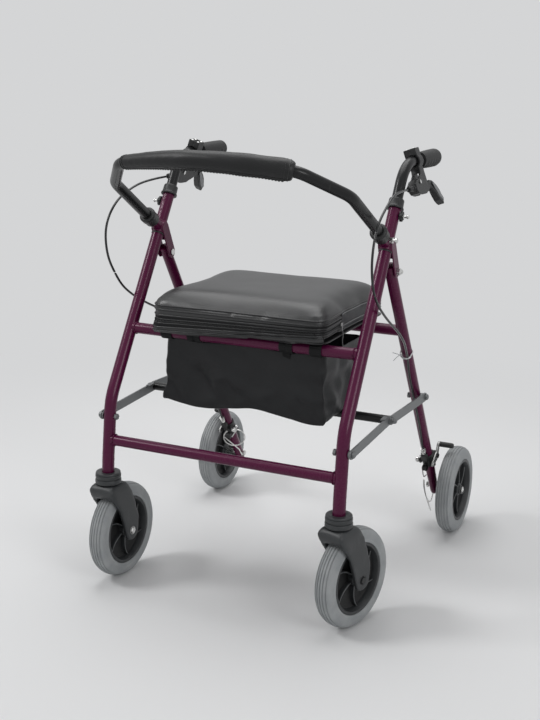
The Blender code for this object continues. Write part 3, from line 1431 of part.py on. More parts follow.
def build_front_frame():
    """Legs, uprights, cross tubes, collars and hinge bolts."""
    seat_rail = rail_between(seat_rail_centre(), RAIL_BORE, LEG_UP, LEG_DIA / 2)
    add_node("seat_front_rail", seat_rail, at_x(seat_rail_centre(), 0.0), "burgundy_paint")
    foot = Vector((FRAME_HALF, STEM_Y, LEG_KINK_Z))
    lower_run = (LEG_BEND - foot).normalized()
    share = (LOWER_RAIL_Z - LEG_KINK_Z) / (LEG_BEND_Z - LEG_KINK_Z)
    low_centre = at_x(foot.lerp(LEG_BEND, share), 0.0)
    low_rail = rail_between(low_centre, RAIL_BORE, lower_run, LEG_DIA / 2)
    add_node("lower_cross_tube", low_rail, low_centre, "burgundy_paint")
    for name, side in SIDES.items():
        foot_at = Vector((side * FRAME_HALF, STEM_Y, LEG_FOOT_Z))
        elbow = at_x(ELBOW, side * FRAME_HALF)
        hinge = at_x(HINGE, side * FRAME_HALF)
        add_node(f"front_leg_{name}", for_side(front_leg(), side), foot_at, "burgundy_paint")
        add_node(f"upright_{name}", for_side(upright(), side), elbow, "burgundy_paint")
        add_node(f"hinge_bolt_{name}", for_side(hinge_bolt(), side), hinge, "zinc_steel")
        top = collar(upright_at(COLLAR_START), LEG_UP, COLLAR_LENGTH,
                     UPRIGHT_TOP - COLLAR_START)
        add_node(f"handle_collar_{name}", for_side(top, side), elbow, "black_plastic")
        back = collar(upright_at(0.0, BACK_COLLAR_START), STUB_OUT, BACK_COLLAR_LENGTH,
                      STUB_LENGTH - BACK_COLLAR_START)
        add_node(f"backrest_collar_{name}", for_side(back, side), elbow, "black_plastic")
        add_node(f"backrest_bolt_{name}", for_side(backrest_bolt(), side), elbow, "zinc_steel")
        knob_at = at_x(upright_at(KNOB_ALONG), side * FRAME_HALF)
        add_node(f"height_knob_{name}", for_side(height_knob(), side), knob_at, "black_plastic")


def build_backrest():
    """Bow tube and its pad, which slide together in the stubs."""
    slide = add_axis("backrest_slide", at_x(ELBOW, 0.0))
    middle = Vector(BACK_MIDDLE)
    add_node("backrest_tube", backrest_tube(), middle, "black_paint", slide)
    add_node("backrest_pad", backrest_pad(), middle, "black_foam", slide)


def build_handles():
    """Handle tubes with their grips, brackets and brake levers."""
    pivot = lever_point(PIVOT_Y, PIVOT_DROP)
    axis = Vector((FRAME_HALF, PIVOT_Y, HANDLE_Z))
    leaned = axis + Matrix.Rotation(-LEVER_LEAN, 3, "Y") @ (pivot - axis)
    for name, side in SIDES.items():
        slide = add_axis(f"handle_slide_{name}", at_x(ELBOW, side * FRAME_HALF))
        tail = at_x(upright_at(UPRIGHT_TOP), side * FRAME_HALF)
        hand = Vector((side * FRAME_HALF, GRIP_START_Y, HANDLE_Z))
        add_node(f"handle_tube_{name}", for_side(handle_tube(), side), tail, "black_paint", slide)
        add_node(f"grip_{name}", for_side(grip(), side), hand, "black_foam", slide)
        lever_at = at_x(leaned, side * leaned.x)
        bracket = for_side(lever_bracket(), side)
        add_node(f"lever_bracket_{name}", bracket, lever_at, "black_plastic", slide)
        lever = for_side(brake_lever(), side)
        add_node(f"brake_lever_{name}", lever, lever_at, "black_plastic", slide)


def build_rear_frame():
    """Rear legs, rail, brakes and rear wheels, all on the fold hinge."""
    fold = add_axis("fold_hinge", at_x(HINGE, 0.0))
    rail_at = at_x(rear_at(REAR_RAIL_ALONG), 0.0)
    rail = rail_between(rail_at, RAIL_BORE, REAR_DOWN, REAR_LEG_DIA / 2)
    add_node("rear_rail", rail, rail_at, "burgundy_paint", fold)
    for name, side in SIDES.items():
        hinge = at_x(HINGE, side * FRAME_HALF)
        add_node(f"rear_leg_{name}", for_side(rear_leg(), side), hinge, "burgundy_paint", fold)
        wheel_at = at_x(AXLE, side * REAR_WHEEL_X)
        add_node(f"rear_axle_{name}", for_side(rear_axle(), side), wheel_at, "zinc_steel", fold)
        place = Matrix.Translation(wheel_at)
        add_node(f"rear_tyre_{name}", moved(for_side(tyre(), side), place), wheel_at,
                 "grey_rubber", fold)
        add_node(f"rear_hub_{name}", moved(for_side(hub(REAR_HUB_HALF), side), place),
                 wheel_at, "hub_plastic", fold)
        pivot = at_x(rear_at(*BRAKE_PIVOT), side * FRAME_HALF)
        add_node(f"brake_bracket_{name}", for_side(brake_bracket(), side), pivot,
                 "black_plastic", fold)
        add_node(f"brake_shoe_{name}", for_side(brake_shoe(), side), pivot,
                 "black_plastic", fold)


def build_casters():
    """Swivelling casters, each turned to the heading it rests at."""
    for name, side in SIDES.items():
        stem_at = Vector((side * FRAME_HALF, STEM_Y, 0.0))
        cup = moved(caster_collar(), Matrix.Translation(stem_at))
        add_node(f"caster_collar_{name}", cup, stem_at, "hub_plastic")
        swivel = add_axis(f"caster_swivel_{name}", stem_at)
        axle = Vector((0.0, TRAIL, WHEEL_RADIUS))
        pieces = (
            (f"caster_fork_{name}", caster_fork(), Vector(), "hub_plastic"),
            (f"caster_axle_{name}", caster_axle(), axle, "zinc_steel"),
            (f"caster_tyre_{name}", moved(for_side(tyre(), side), Matrix.Translation(axle)),
             axle, "grey_rubber"),
            (f"caster_hub_{name}",
             moved(for_side(hub(CASTER_HUB_HALF), side), Matrix.Translation(axle)), axle,
             "hub_plastic"),
        )
        for piece_name, solid, origin, finish in pieces:
            node = add_node(piece_name, solid, origin, finish)
            node.parent = swivel
        swivel.rotation_euler = (0.0, 0.0, YAW[name])


def build_links():
    """Fold links and the crossbar."""
    middle = Vector((0.0, *MIDDLE_PIVOT))
    add_node("fold_crossbar", fold_crossbar(), middle, "black_paint")
    for name, side in SIDES.items():
        front = at_x(front_pivot(), side * FRONT_LINK_X)
        rear = at_x(rear_at(REAR_PIVOT_ALONG), side * REAR_LINK_X)
        add_node(f"front_link_{name}", for_side(front_link(), side), front, "grey_link")
        add_node(f"rear_link_{name}", for_side(rear_link(), side), rear, "grey_link")


def build_seat():
    """Seat board and cushion on the front rail's axis, and the bag."""
    rail = at_x(seat_rail_centre(), 0.0)
    flip = add_axis("seat_hinge", rail)
    add_node("seat_cushion", seat_cushion(), rail, "black_vinyl", flip)
    add_node("seat_base", seat_base(), rail, "black_plastic", flip)
    add_node("bag", bag(), rail, "black_cloth")


def main():
    """Build the whole walker."""
    clear_scene()
    build_front_frame()
    build_backrest()
    build_handles()
    build_rear_frame()
    build_casters()
    build_links()
    build_seat()
    for name in SIDES:
        add_cable(f"brake_cable_{name}", name)


main()
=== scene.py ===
"""Dress a folding four-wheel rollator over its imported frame.

Metres, +Z up. The casters point to -Y, the walking user stands at +Y, and the
origin lies on the floor under the middle of the walker. Every sub-assembly is a
class that holds its own sizes, builds its meshes and dresses them.
"""

from __future__ import annotations

import logging
import math
from collections.abc import Callable, Iterable, Sequence
from dataclasses import dataclass
from enum import Enum

import bmesh
import bpy
from mathutils import Matrix, Vector, noise
from mathutils.bvhtree import BVHTree


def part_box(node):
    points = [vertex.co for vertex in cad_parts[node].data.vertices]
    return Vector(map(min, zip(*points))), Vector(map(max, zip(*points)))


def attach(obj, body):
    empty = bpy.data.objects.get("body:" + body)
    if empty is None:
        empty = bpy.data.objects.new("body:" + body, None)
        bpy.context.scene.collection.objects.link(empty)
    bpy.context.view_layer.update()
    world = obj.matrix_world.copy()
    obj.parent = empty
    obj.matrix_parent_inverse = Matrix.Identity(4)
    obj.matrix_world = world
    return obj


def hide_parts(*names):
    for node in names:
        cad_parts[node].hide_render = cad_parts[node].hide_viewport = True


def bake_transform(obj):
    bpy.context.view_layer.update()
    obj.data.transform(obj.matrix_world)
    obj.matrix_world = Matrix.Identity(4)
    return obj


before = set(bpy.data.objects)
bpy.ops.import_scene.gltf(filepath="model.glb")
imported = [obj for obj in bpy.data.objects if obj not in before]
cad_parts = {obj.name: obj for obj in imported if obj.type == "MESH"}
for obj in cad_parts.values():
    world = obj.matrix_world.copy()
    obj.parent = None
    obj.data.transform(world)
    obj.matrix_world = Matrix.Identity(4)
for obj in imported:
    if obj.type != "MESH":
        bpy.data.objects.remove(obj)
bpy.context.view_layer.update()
LOG = logging.getLogger("rollator")

Shape = bmesh.types.BMesh
Points = list[Vector]
Rings = list[Points]
Profile = list[tuple[float, float]]  # (distance, radius) pairs
Marks = list[tuple[Vector, Vector]]  # (point, outward direction) pairs

X_AXIS = Vector((1.0, 0.0, 0.0))
Y_AXIS = Vector((0.0, 1.0, 0.0))
Z_AXIS = Vector((0.0, 0.0, 1.0))

SHARP_EDGE = math.radians(30.0)  # edges sharper than this are softened
BEND_STEP = math.radians(6.0)  # the largest turn between two points of a bend
CLOTH_FRAMES = 20
CLOTH_STIFFNESS = 12.0
CLOTH_BENDING = 1.2
VIEW_WIDTH, VIEW_HEIGHT = 540.0, 720.0  # the camera was measured on this picture size


class Side(Enum):
    """The two sides of the walker, by the sign of X."""

    LEFT = -1
    RIGHT = 1

    @property
    def tag(self) -> str:
        """Return the ending of a piece's name."""
        return self.name.lower()

    def place(self, point: Vector) -> Vector:
        """Return a point drawn for the right side, moved to this side."""
        return Vector((point.x * self.value, point.y, point.z))


class Slot(Enum):
    """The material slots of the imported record."""

    BURGUNDY = "burgundy_paint"
    PLASTIC = "black_plastic"
    BLACK = "black_paint"
    TYRE = "grey_rubber"
    HUB = "hub_plastic"
    ZINC = "zinc_steel"
    LINK = "grey_link"
    VINYL = "black_vinyl"
    CLOTH = "black_cloth"
    FOAM = "black_foam"


# Shader maths


class Signal:
    """A socket that takes part in arithmetic as a number does."""

    def __init__(self, sheet: "ShaderSheet", socket: bpy.types.NodeSocket) -> None:
        """Hold one output socket of a sheet."""
        self.sheet = sheet
        self.socket = socket

    def _with(self, operation: str, *values: "Signal | float") -> "Signal":
        """Return the result of one Math node."""
        return self.sheet.node("ShaderNodeMath", {"operation": operation},
                               dict(enumerate(values)))

    def __add__(self, other: "Signal | float") -> "Signal":
        """Return the sum."""
        return self._with("ADD", self, other)

    __radd__ = __add__

    def __sub__(self, other: "Signal | float") -> "Signal":
        """Return the difference."""
        return self._with("SUBTRACT", self, other)

    def __rsub__(self, other: float) -> "Signal":
        """Return the difference from a number."""
        return self._with("SUBTRACT", other, self)

    def __mul__(self, other: "Signal | float") -> "Signal":
        """Return the product."""
        return self._with("MULTIPLY", self, other)

    __rmul__ = __mul__

    def __pow__(self, power: float) -> "Signal":
        """Return the signal raised to a power."""
        return self._with("POWER", self, power)

    def sine(self) -> "Signal":
        """Return the sine."""
        return self._with("SINE", self)

    def between(self, low: float, high: float) -> "Signal":
        """Return a smooth step from 0 at low to 1 at high.

        Args:
            low: The value that gives 0.
            high: The value that gives 1.

        Returns:
            The stepped signal.
        """
        settings = {"interpolation_type": "SMOOTHSTEP"}
        return self.sheet.node("ShaderNodeMapRange", settings,
                               {0: self, 1: low, 2: high, 3: 0.0, 4: 1.0})


Value = Signal | float | tuple


class ShaderSheet:
    """One material's nodes, written as expressions."""

    def __init__(self, name: str) -> None:
        """Start an empty material."""
        self.material = bpy.data.materials.new(name)
        self.material.use_nodes = True
        self.tree = self.material.node_tree
        self.tree.nodes.clear()

    def node(self, kind: str, settings: dict | None = None,
             inputs: dict | None = None, output: int | str = 0) -> Signal:
        """Add a node with its settings and the values or links of its sockets.

        Args:
            kind: The node's type.
            settings: Properties to set first.
            inputs: Values or signals by socket name or number.
            output: The output socket to return.

        Returns:
            The chosen output.
        """
        made = self.tree.nodes.new(kind)
        for key, value in (settings or {}).items():
            setattr(made, key, value)
        for key, value in (inputs or {}).items():
            socket = made.inputs[key]
            if isinstance(value, Signal):
                self.tree.links.new(value.socket, socket)
            elif isinstance(value, tuple) and len(value) == 3 and socket.type == "RGBA":
                socket.default_value = (*value, 1.0)
            else:
                socket.default_value = value
        return Signal(self, made.outputs[output])

    def place(self) -> Signal:
        """Return the point on the piece, in metres."""
        return self.node("ShaderNodeTexCoord", output="Object")

    def stretched(self, where: Signal, scale: tuple[float, float, float]) -> Signal:
        """Return a place scaled along each axis."""
        return self.node("ShaderNodeMapping", {"vector_type": "POINT"},
                         {"Vector": where, "Scale": scale})

    def cloud(self, where: Signal, scale: float, detail: float = 3.0) -> Signal:
        """Return soft noise, with so many grains to the metre."""
        return self.node("ShaderNodeTexNoise", None,
                         {"Vector": where, "Scale": scale, "Detail": detail}, "Fac")

    def cells(self, where: Signal, scale: float) -> Signal:
        """Return the distance to the middle of the nearest cell."""
        return self.node("ShaderNodeTexVoronoi", {"feature": "F1"},
                         {"Vector": where, "Scale": scale}, "Distance")

    def part(self, where: Signal, axis: int) -> Signal:
        """Return one coordinate of a place."""
        return self.node("ShaderNodeSeparateXYZ", None, {0: where}, axis)

    def blend(self, share: Value, low: Value, high: Value) -> Signal:
        """Return a colour between two colours."""
        return self.node("ShaderNodeMix", {"data_type": "RGBA"},
                         {0: share, 6: low, 7: high}, 2)

    def relief(self, height: Signal, depth: float, strength: float = 1.0,
               under: Signal | None = None) -> Signal:
        """Return a bumped normal of a height in the given depth in metres."""
        inputs = {"Height": height, "Distance": depth, "Strength": strength}
        if under is not None:
            inputs["Normal"] = under
        return self.node("ShaderNodeBump", None, inputs)

    def surface(self, **sockets: Value) -> bpy.types.Material:
        """Close the sheet with a Principled surface.

        Args:
            **sockets: Values by socket name, with _ for each space.

        Returns:
            The finished material.
        """
        inputs = {key.replace("_", " "): value for key, value in sockets.items()}
        return self.node_output(self.node("ShaderNodeBsdfPrincipled", None, inputs))

    def node_output(self, shader: Signal) -> bpy.types.Material:
        """Close the sheet with any other shader."""
        out = self.tree.nodes.new("ShaderNodeOutputMaterial")
        self.tree.links.new(shader.socket, out.inputs[0])
        return self.material


# Finishes


@dataclass(frozen=True)
class Finish:
    """A finish that builds its material once."""

    name: str

    def material(self) -> bpy.types.Material:
        """Return the material, built the first time it is asked for."""
        return bpy.data.materials.get(self.name) or self.build(ShaderSheet(self.name))

    def build(self, sheet: ShaderSheet) -> bpy.types.Material:
        """Fill the sheet and return its material."""
        raise NotImplementedError


@dataclass(frozen=True)
class Enamel(Finish):
    """Sprayed enamel on steel tube, with a faint orange peel and handling scuffs."""

    colour: tuple[float, float, float]
    worn: tuple[float, float, float]
    metallic: float
    roughness: float
    coat: float
    gloss: float = 0.25

    def build(self, sheet: ShaderSheet) -> bpy.types.Material:
        """Fill the sheet with the enamel."""
        where = sheet.place()
        drift = sheet.cloud(where, 9.0, 2.0)
        scuff = sheet.cloud(sheet.stretched(where, (1.0, 1.0, 0.35)), 210.0, 5.0)
        rubbed = scuff.between(0.62, 0.74) * drift.between(0.45, 0.62)
        tone = sheet.blend(drift * 0.5 + scuff * 0.3, self.colour,
                           tuple(c * 1.28 for c in self.colour))
        tone = sheet.blend(rubbed * 0.35, tone, self.worn)
        peel = sheet.cloud(where, 700.0, 2.0)
        return sheet.surface(
            Base_Color=tone, Metallic=self.metallic,
            Roughness=self.roughness + rubbed * 0.18 + peel * 0.05,
            Coat_Weight=self.coat, Coat_Roughness=0.14, Specular_IOR_Level=self.gloss,
            Normal=sheet.relief(peel, 0.00010, 0.05))


@dataclass(frozen=True)
class Moulding(Finish):
    """Moulded plastic with a spark-eroded grain and paler rubbed spots."""

    colour: tuple[float, float, float]
    roughness: float
    grain: float = 1500.0
    depth: float = 0.00015

    def build(self, sheet: ShaderSheet) -> bpy.types.Material:
        """Fill the sheet with the moulding."""
        where = sheet.place()
        grain = sheet.cloud(where, self.grain, 4.0)
        flow = sheet.cloud(sheet.stretched(where, (1.0, 1.6, 0.6)), 38.0, 3.0)
        rubbed = flow.between(0.55, 0.78)
        tone = sheet.blend(grain * 0.5 + rubbed * 0.4, self.colour,
                           tuple(c * 1.5 + 0.004 for c in self.colour))
        return sheet.surface(
            Base_Color=tone, Roughness=self.roughness + grain * 0.12 - rubbed * 0.08,
            Normal=sheet.relief(grain, self.depth, 0.5))


@dataclass(frozen=True)
class Plated(Finish):
    """Bright plated steel with fine turning lines."""

    colour: tuple[float, float, float] = (0.66, 0.66, 0.65)
    roughness: float = 0.2

    def build(self, sheet: ShaderSheet) -> bpy.types.Material:
        """Fill the sheet with the plating."""
        where = sheet.place()
        lines = sheet.cloud(sheet.stretched(where, (6.0, 1.0, 1.0)), 900.0, 3.0)
        stain = sheet.cloud(where, 160.0, 3.0).between(0.5, 0.75)
        return sheet.surface(
            Base_Color=sheet.blend(stain * 0.5, self.colour,
                                   tuple(c * 0.66 for c in self.colour)),
            Metallic=1.0, Roughness=self.roughness + lines * 0.12 + stain * 0.08,
            Normal=sheet.relief(lines, 0.00006, 0.3))


@dataclass(frozen=True)
class TyreCompound(Finish):
    """Pale solid rubber, dusty in patches and flecked with darker specks."""

    colour: tuple[float, float, float] = (0.290, 0.305, 0.314)
    dust: tuple[float, float, float] = (0.350, 0.363, 0.370)

    def build(self, sheet: ShaderSheet) -> bpy.types.Material:
        """Fill the sheet with the rubber."""
        where = sheet.place()
        bloom = sheet.cloud(where, 34.0, 4.0)
        speck = sheet.cloud(where, 620.0, 4.0)
        tone = sheet.blend(bloom.between(0.35, 0.7), self.colour, self.dust)
        tone = sheet.blend(speck.between(0.66, 0.8) * 0.3, tone,
                           tuple(c * 0.72 for c in self.colour))
        return sheet.surface(
            Base_Color=tone, Roughness=0.62 + bloom * 0.14,
            Normal=sheet.relief(speck, 0.0002, 0.35))


@dataclass(frozen=True)
class Vinyl(Finish):
    """Upholstery vinyl: shallow pebble grain, soft creases and a low sheen."""

    colour: tuple[float, float, float] = (0.0135, 0.0138, 0.0145)
    roughness: float = 0.40
    grain: float = 620.0
    gloss: float = 0.45

    def build(self, sheet: ShaderSheet) -> bpy.types.Material:
        """Fill the sheet with the vinyl."""
        where = sheet.place()
        pebble = sheet.cells(where, self.grain) + sheet.cloud(where, self.grain * 1.7) * 0.4
        handled = sheet.cloud(where, 14.0, 4.0)
        crease = sheet.cloud(sheet.stretched(where, (1.0, 0.5, 1.0)), 46.0, 5.0)
        fine = sheet.relief(pebble, 0.00022, 0.35)
        tone = sheet.blend(handled.between(0.35, 0.7) * 0.7, self.colour,
                           tuple(c * 1.75 for c in self.colour))
        return sheet.surface(
            Base_Color=tone, Roughness=self.roughness + handled * 0.10 + pebble * 0.05,
            Specular_IOR_Level=self.gloss,
            Normal=sheet.relief(crease, 0.0012, 0.12, fine))


@dataclass(frozen=True)
class WovenNylon(Finish):
    """Coated nylon cloth in a plain weave, dull with a faint bloom."""

    colour: tuple[float, float, float] = (0.0085, 0.0087, 0.0092)
    thread: float = 0.0011
    roughness: float = 0.74
    gloss: float = 0.22

    def build(self, sheet: ShaderSheet) -> bpy.types.Material:
        """Fill the sheet with the cloth."""
        where = sheet.place()
        turns = 2.0 * math.pi / self.thread
        across = (sheet.part(where, 0) * turns + sheet.part(where, 1) * turns).sine()
        down = (sheet.part(where, 2) * turns).sine()
        weave = across * down * 0.5 + 0.5
        bloom = sheet.cloud(where, 21.0, 4.0)
        lint = sheet.cloud(where, 900.0, 2.0)
        tone = sheet.blend(weave * 0.35 + bloom * 0.5, self.colour,
                           tuple(c * 2.3 for c in self.colour))
        return sheet.surface(
            Base_Color=tone, Roughness=self.roughness + lint * 0.14,
            Specular_IOR_Level=self.gloss,
            Normal=sheet.relief(weave + lint * 0.4, 0.00018, 0.5))


@dataclass(frozen=True)
class Cord(Finish):
    """Smooth extruded housing or thread with faint kinks of tone."""

    colour: tuple[float, float, float]
    roughness: float = 0.42
    metallic: float = 0.0

    def build(self, sheet: ShaderSheet) -> bpy.types.Material:
        """Fill the sheet with the cord's skin."""
        where = sheet.place()
        drift = sheet.cloud(where, 120.0, 3.0)
        tone = sheet.blend(drift, self.colour, tuple(c * 1.5 for c in self.colour))
        return sheet.surface(Base_Color=tone, Metallic=self.metallic,
                             Roughness=self.roughness + drift * 0.12,
                             Normal=sheet.relief(drift, 0.0002, 0.2))


BURGUNDY = Enamel("burgundy_enamel", (0.074, 0.0030, 0.033), (0.16, 0.035, 0.090), 0.06,
                  0.25, 0.07)
BLACK_TUBE = Enamel("black_enamel", (0.0065, 0.0067, 0.0072), (0.05, 0.05, 0.05), 0.0,
                    0.28, 0.10)
LINK_COAT = Enamel("link_coat", (0.16, 0.166, 0.170), (0.34, 0.34, 0.34), 0.40, 0.42, 0.0)
PLASTIC = Moulding("black_moulding", (0.0062, 0.0065, 0.0070), 0.40)
HUB_PLASTIC = Moulding("hub_moulding", (0.0240, 0.0262, 0.0280), 0.38)
# pale grey for the strips on the rib edges: a painted highlight, not the hub's own colour
RIB_HIGHLIGHT_PLASTIC = Moulding("rib_edge_moulding", (0.11, 0.115, 0.118), 0.30)
# the recessed web is darkened well below the hub's own grey: painted shade
WEB_SHADE_PLASTIC = Moulding("web_moulding", (0.0040, 0.0042, 0.0046), 0.55)
GRIP_RUBBER = Moulding("grip_rubber", (0.0085, 0.0088, 0.0092), 0.55, 900.0, 0.0003)
CLEAR_GREY = Moulding("grey_inset", (0.16, 0.165, 0.17), 0.38)
ZINC = Plated("zinc_plate")
DULL_STEEL = Plated("dull_steel", (0.40, 0.40, 0.395), 0.34)
TYRE = TyreCompound("tyre_rubber")
SEAT_VINYL = Vinyl("seat_vinyl", (0.0085, 0.0088, 0.0093), 0.30, 620.0, 0.70)
PAD_SKIN = Vinyl("pad_vinyl", (0.0060, 0.0062, 0.0067), 0.36, 760.0, 0.38)
NYLON = WovenNylon("bag_nylon", (0.0042, 0.0046, 0.0054), 0.0011, 0.34, 0.34)
STRAP_WEB = WovenNylon("strap_webbing", (0.0045, 0.0047, 0.0050), 0.0016, 0.62)
# black zip tape, darker than the other cloths: partly its own black, partly painted shade of the
# valley at the teeth
ZIP_TAPE_AND_SHADE = WovenNylon("zip_tape", (0.0035, 0.0036, 0.0039), 0.0008, 0.6)
RIBBED_GREY = WovenNylon("side_panel_cloth", (0.030, 0.031, 0.033), 0.0022, 0.42)
PIPING = Cord("seam_piping", (0.0070, 0.0072, 0.0077), 0.28)
PALE_PIPING = Cord("pale_piping", (0.14, 0.142, 0.145), 0.45)
HOUSING = Cord("cable_housing", (0.0085, 0.0088, 0.0095), 0.18)
WIRE = Cord("brake_wire", (0.52, 0.52, 0.51), 0.30, 1.0)
TIE = Cord("cable_tie", (0.52, 0.53, 0.54), 0.5)


# Mesh making


def circle(centre: Vector, tangent: Vector, toward: Vector, radius: float, sides: int,
           flatten: tuple[float, float] = (1.0, 1.0)) -> Points:
    """Return a ring of points square to a tangent.

    Args:
        centre: The ring's middle.
        tangent: The direction through the ring.
        toward: Roughly the direction of the first point.
        radius: The ring's radius.
        sides: How many points it has.
        flatten: Scales toward the first point and across it.

    Returns:
        The points in order.
    """
    across = tangent.cross(toward).normalized()
    up = across.cross(tangent).normalized()
    points = []
    for index in range(sides):
        turn = 2.0 * math.pi * index / sides
        points.append(centre + up * math.cos(turn) * radius * flatten[0]
                      + across * math.sin(turn) * radius * flatten[1])
    return points


def loft(rings: Rings, capped: bool = True, looped: bool = False) -> Shape:
    """Return a skin over rings of equal count.

    Args:
        rings: The rings in order.
        capped: Close both ends with a face.
        looped: Join the last ring to the first instead.

    Returns:
        The skin.
    """
    mesh = bmesh.new()
    rows = [[mesh.verts.new(point) for point in points] for points in rings]
    pairs = list(zip(rows, rows[1:]))
    if looped:
        pairs.append((rows[-1], rows[0]))
    for low, high in pairs:
        for index in range(len(low)):
            after = (index + 1) % len(low)
            mesh.faces.new((low[index], low[after], high[after], high[index]))
    if capped and not looped:
        mesh.faces.new(tuple(rows[0]))
        mesh.faces.new(tuple(rows[-1]))
    bmesh.ops.recalc_face_normals(mesh, faces=mesh.faces)
    return mesh


def tangents(points: Points) -> Points:
    """Return the direction of travel at each point of a path."""
    result = []
    for index in range(len(points)):
        before = points[max(index - 1, 0)]
        after = points[min(index + 1, len(points) - 1)]
        result.append((after - before).normalized())
    return result


def sweep(points: Points, radius: float | Callable[[float], float], sides: int = 24,
          toward: Vector = X_AXIS, round_ends: float = 0.0) -> Shape:
    """Return a round bar along a path, without twist.

    Args:
        points: The path.
        radius: Its radius, or one as a function of the share of the way along.
        sides: Facets round it.
        toward: Where the first point of the first ring lies.
        round_ends: The share of the radius by which the ends are rounded.

    Returns:
        The bar.
    """
    ways = tangents(points)
    rings = []
    reference = toward
    last = len(points) - 1
    for index, (point, way) in enumerate(zip(points, ways)):
        share = index / last
        across = way.cross(reference).normalized()
        reference = across.cross(way).normalized()
        size = radius(share) if callable(radius) else radius
        rings.append(circle(point, way, reference, size, sides))
    if round_ends:
        rings = rounded_ends(rings, round_ends)
    return loft(rings)


def rounded_ends(rings: Rings, share: float) -> Rings:
    """Return rings with two shrinking rings added beyond each end."""

    def shrunk(ring: Points, outward: Vector, size: float) -> Rings:
        """Return the two smaller rings beyond one end."""
        centre = sum(ring, Vector()) / len(ring)
        result = []
        for turn in (0.5, 0.85):
            scale = 1.0 - share * (1.0 - math.cos(turn * math.pi / 2))
            shift = outward * size * share * math.sin(turn * math.pi / 2)
            result.append([centre + shift + (point - centre) * scale for point in ring])
        return result

    centres = [sum(ring, Vector()) / len(ring) for ring in rings]
    size = (rings[0][0] - centres[0]).length
    head = shrunk(rings[0], (centres[0] - centres[1]).normalized(), size)
    tail = shrunk(rings[-1], (centres[-1] - centres[-2]).normalized(), size)
    return head[::-1] + rings + tail


def lathe(profile: Sequence[tuple[float, float]], origin: Vector, axis: Vector,
          sides: int = 48, looped: bool = False) -> Shape:
    """Return a profile of (distance, radius) pairs turned round an axis.

    Args:
        profile: The pairs in order.
        origin: Where distance is zero.
        axis: The direction of distance.
        sides: Facets round it.
        looped: Whether the profile closes on itself, as a ring's does.

    Returns:
        The turned shape.
    """
    way = axis.normalized()
    toward = X_AXIS if abs(way.dot(X_AXIS)) < 0.9 else Z_AXIS
    rings = [circle(origin + way * distance, way, toward, max(radius, 0.00002), sides)
             for distance, radius in profile]
    return loft(rings, not looped, looped)


def plate(outline: Points, thickness: Vector) -> Shape:
    """Return a flat outline made thick in one direction."""
    return loft([outline, [point + thickness for point in outline]])


def box_shape(low: Vector, high: Vector) -> Shape:
    """Return a box between two corners."""
    outline = [Vector((low.x, low.y, low.z)), Vector((high.x, low.y, low.z)),
               Vector((high.x, high.y, low.z)), Vector((low.x, high.y, low.z))]
    return plate(outline, Vector((0.0, 0.0, high.z - low.z)))


def joined(*shapes: Shape) -> Shape:
    """Return several shapes as one mesh, freeing them."""
    whole = bmesh.new()
    for shape in shapes:
        data = bpy.data.meshes.new("join")
        shape.to_mesh(data)
        shape.free()
        whole.from_mesh(data)
        bpy.data.meshes.remove(data)
    return whole


def softened(shape: Shape, width: float) -> Shape:
    """Bevel the sharp edges of a shape in place and return it."""
    sharp = [edge for edge in shape.edges if len(edge.link_faces) == 2
             and edge.calc_face_angle(0.0) > SHARP_EDGE]
    bmesh.ops.bevel(shape, geom=sharp, offset=width, segments=2, profile=0.6,
                    affect="EDGES", clamp_overlap=True)
    return shape


def turned_about(shape: Shape, centre: Vector, matrix: Matrix) -> Shape:
    """Turn a shape about a point in place and return it."""
    place = Matrix.Translation(centre) @ matrix.to_4x4() @ Matrix.Translation(-centre)
    shape.transform(place)
    return shape


def mirrored(shape: Shape, side: Side) -> Shape:
    """Return a shape drawn for the right side, on the given side."""
    if side is Side.LEFT:
        shape.transform(Matrix.Diagonal((-1.0, 1.0, 1.0, 1.0)))
        bmesh.ops.reverse_faces(shape, faces=shape.faces)
    return shape


def smooth_route(points: Iterable[Vector], steps: int = 8) -> Points:
    """Return a finer path on a smooth curve through the points."""
    ends = list(points)
    padded = [ends[0] * 2 - ends[1], *ends, ends[-1] * 2 - ends[-2]]
    fine = []
    for a, b, c, d in zip(padded, padded[1:], padded[2:], padded[3:]):
        for index in range(steps):
            t = index / steps
            fine.append(0.5 * (2 * b + (c - a) * t + (2 * a - 5 * b + 4 * c - d) * t * t
                               + (3 * b - a - 3 * c + d) * t ** 3))
    fine.append(ends[-1])
    return fine


def rounded_path(corners: Points, radius: float) -> Points:
    """Return a polyline whose inner corners are arcs of a radius."""
    points = [corners[0]]
    for before, corner, after in zip(corners, corners[1:], corners[2:]):
        back = (before - corner).normalized()
        ahead = (after - corner).normalized()
        half = back.angle(ahead) / 2
        reach = radius / math.tan(half)
        centre = corner + (back + ahead).normalized() * radius / math.sin(half)
        spoke = corner + back * reach - centre
        axis = spoke.cross(corner + ahead * reach - centre).normalized()
        turn = math.pi - 2 * half
        steps = max(2, math.ceil(turn / BEND_STEP))
        for index in range(steps + 1):
            points.append(centre + Matrix.Rotation(turn * index / steps, 3, axis) @ spoke)
    points.append(corners[-1])
    return points


def spread(points: Points, step: float) -> Points:
    """Return a path with points no further apart than a step."""
    result = [points[0]]
    for before, after in zip(points, points[1:]):
        count = max(1, math.ceil((after - before).length / step))
        result += [before.lerp(after, index / count) for index in range(1, count + 1)]
    return result


def copy_of(node: str) -> Shape:
    """Return a frame node's solid as a mesh of its own."""
    shape = bmesh.new()
    shape.from_mesh(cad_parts[node].data)
    bmesh.ops.remove_doubles(shape, verts=shape.verts, dist=0.00001)
    return shape


def object_of(shape: Shape, name: str) -> bpy.types.Object:
    """Return a new object of the scene with a shape's mesh."""
    data = bpy.data.meshes.new(name)
    shape.to_mesh(data)
    thing = bpy.data.objects.new(name, data)
    bpy.context.scene.collection.objects.link(thing)
    return thing


def voxelled(holder: bpy.types.Object, voxel: float) -> None:
    """Remesh an object at a voxel size, as a modifier."""
    remesh = holder.modifiers.new("remesh", "REMESH")
    remesh.mode = "VOXEL"
    remesh.voxel_size = voxel


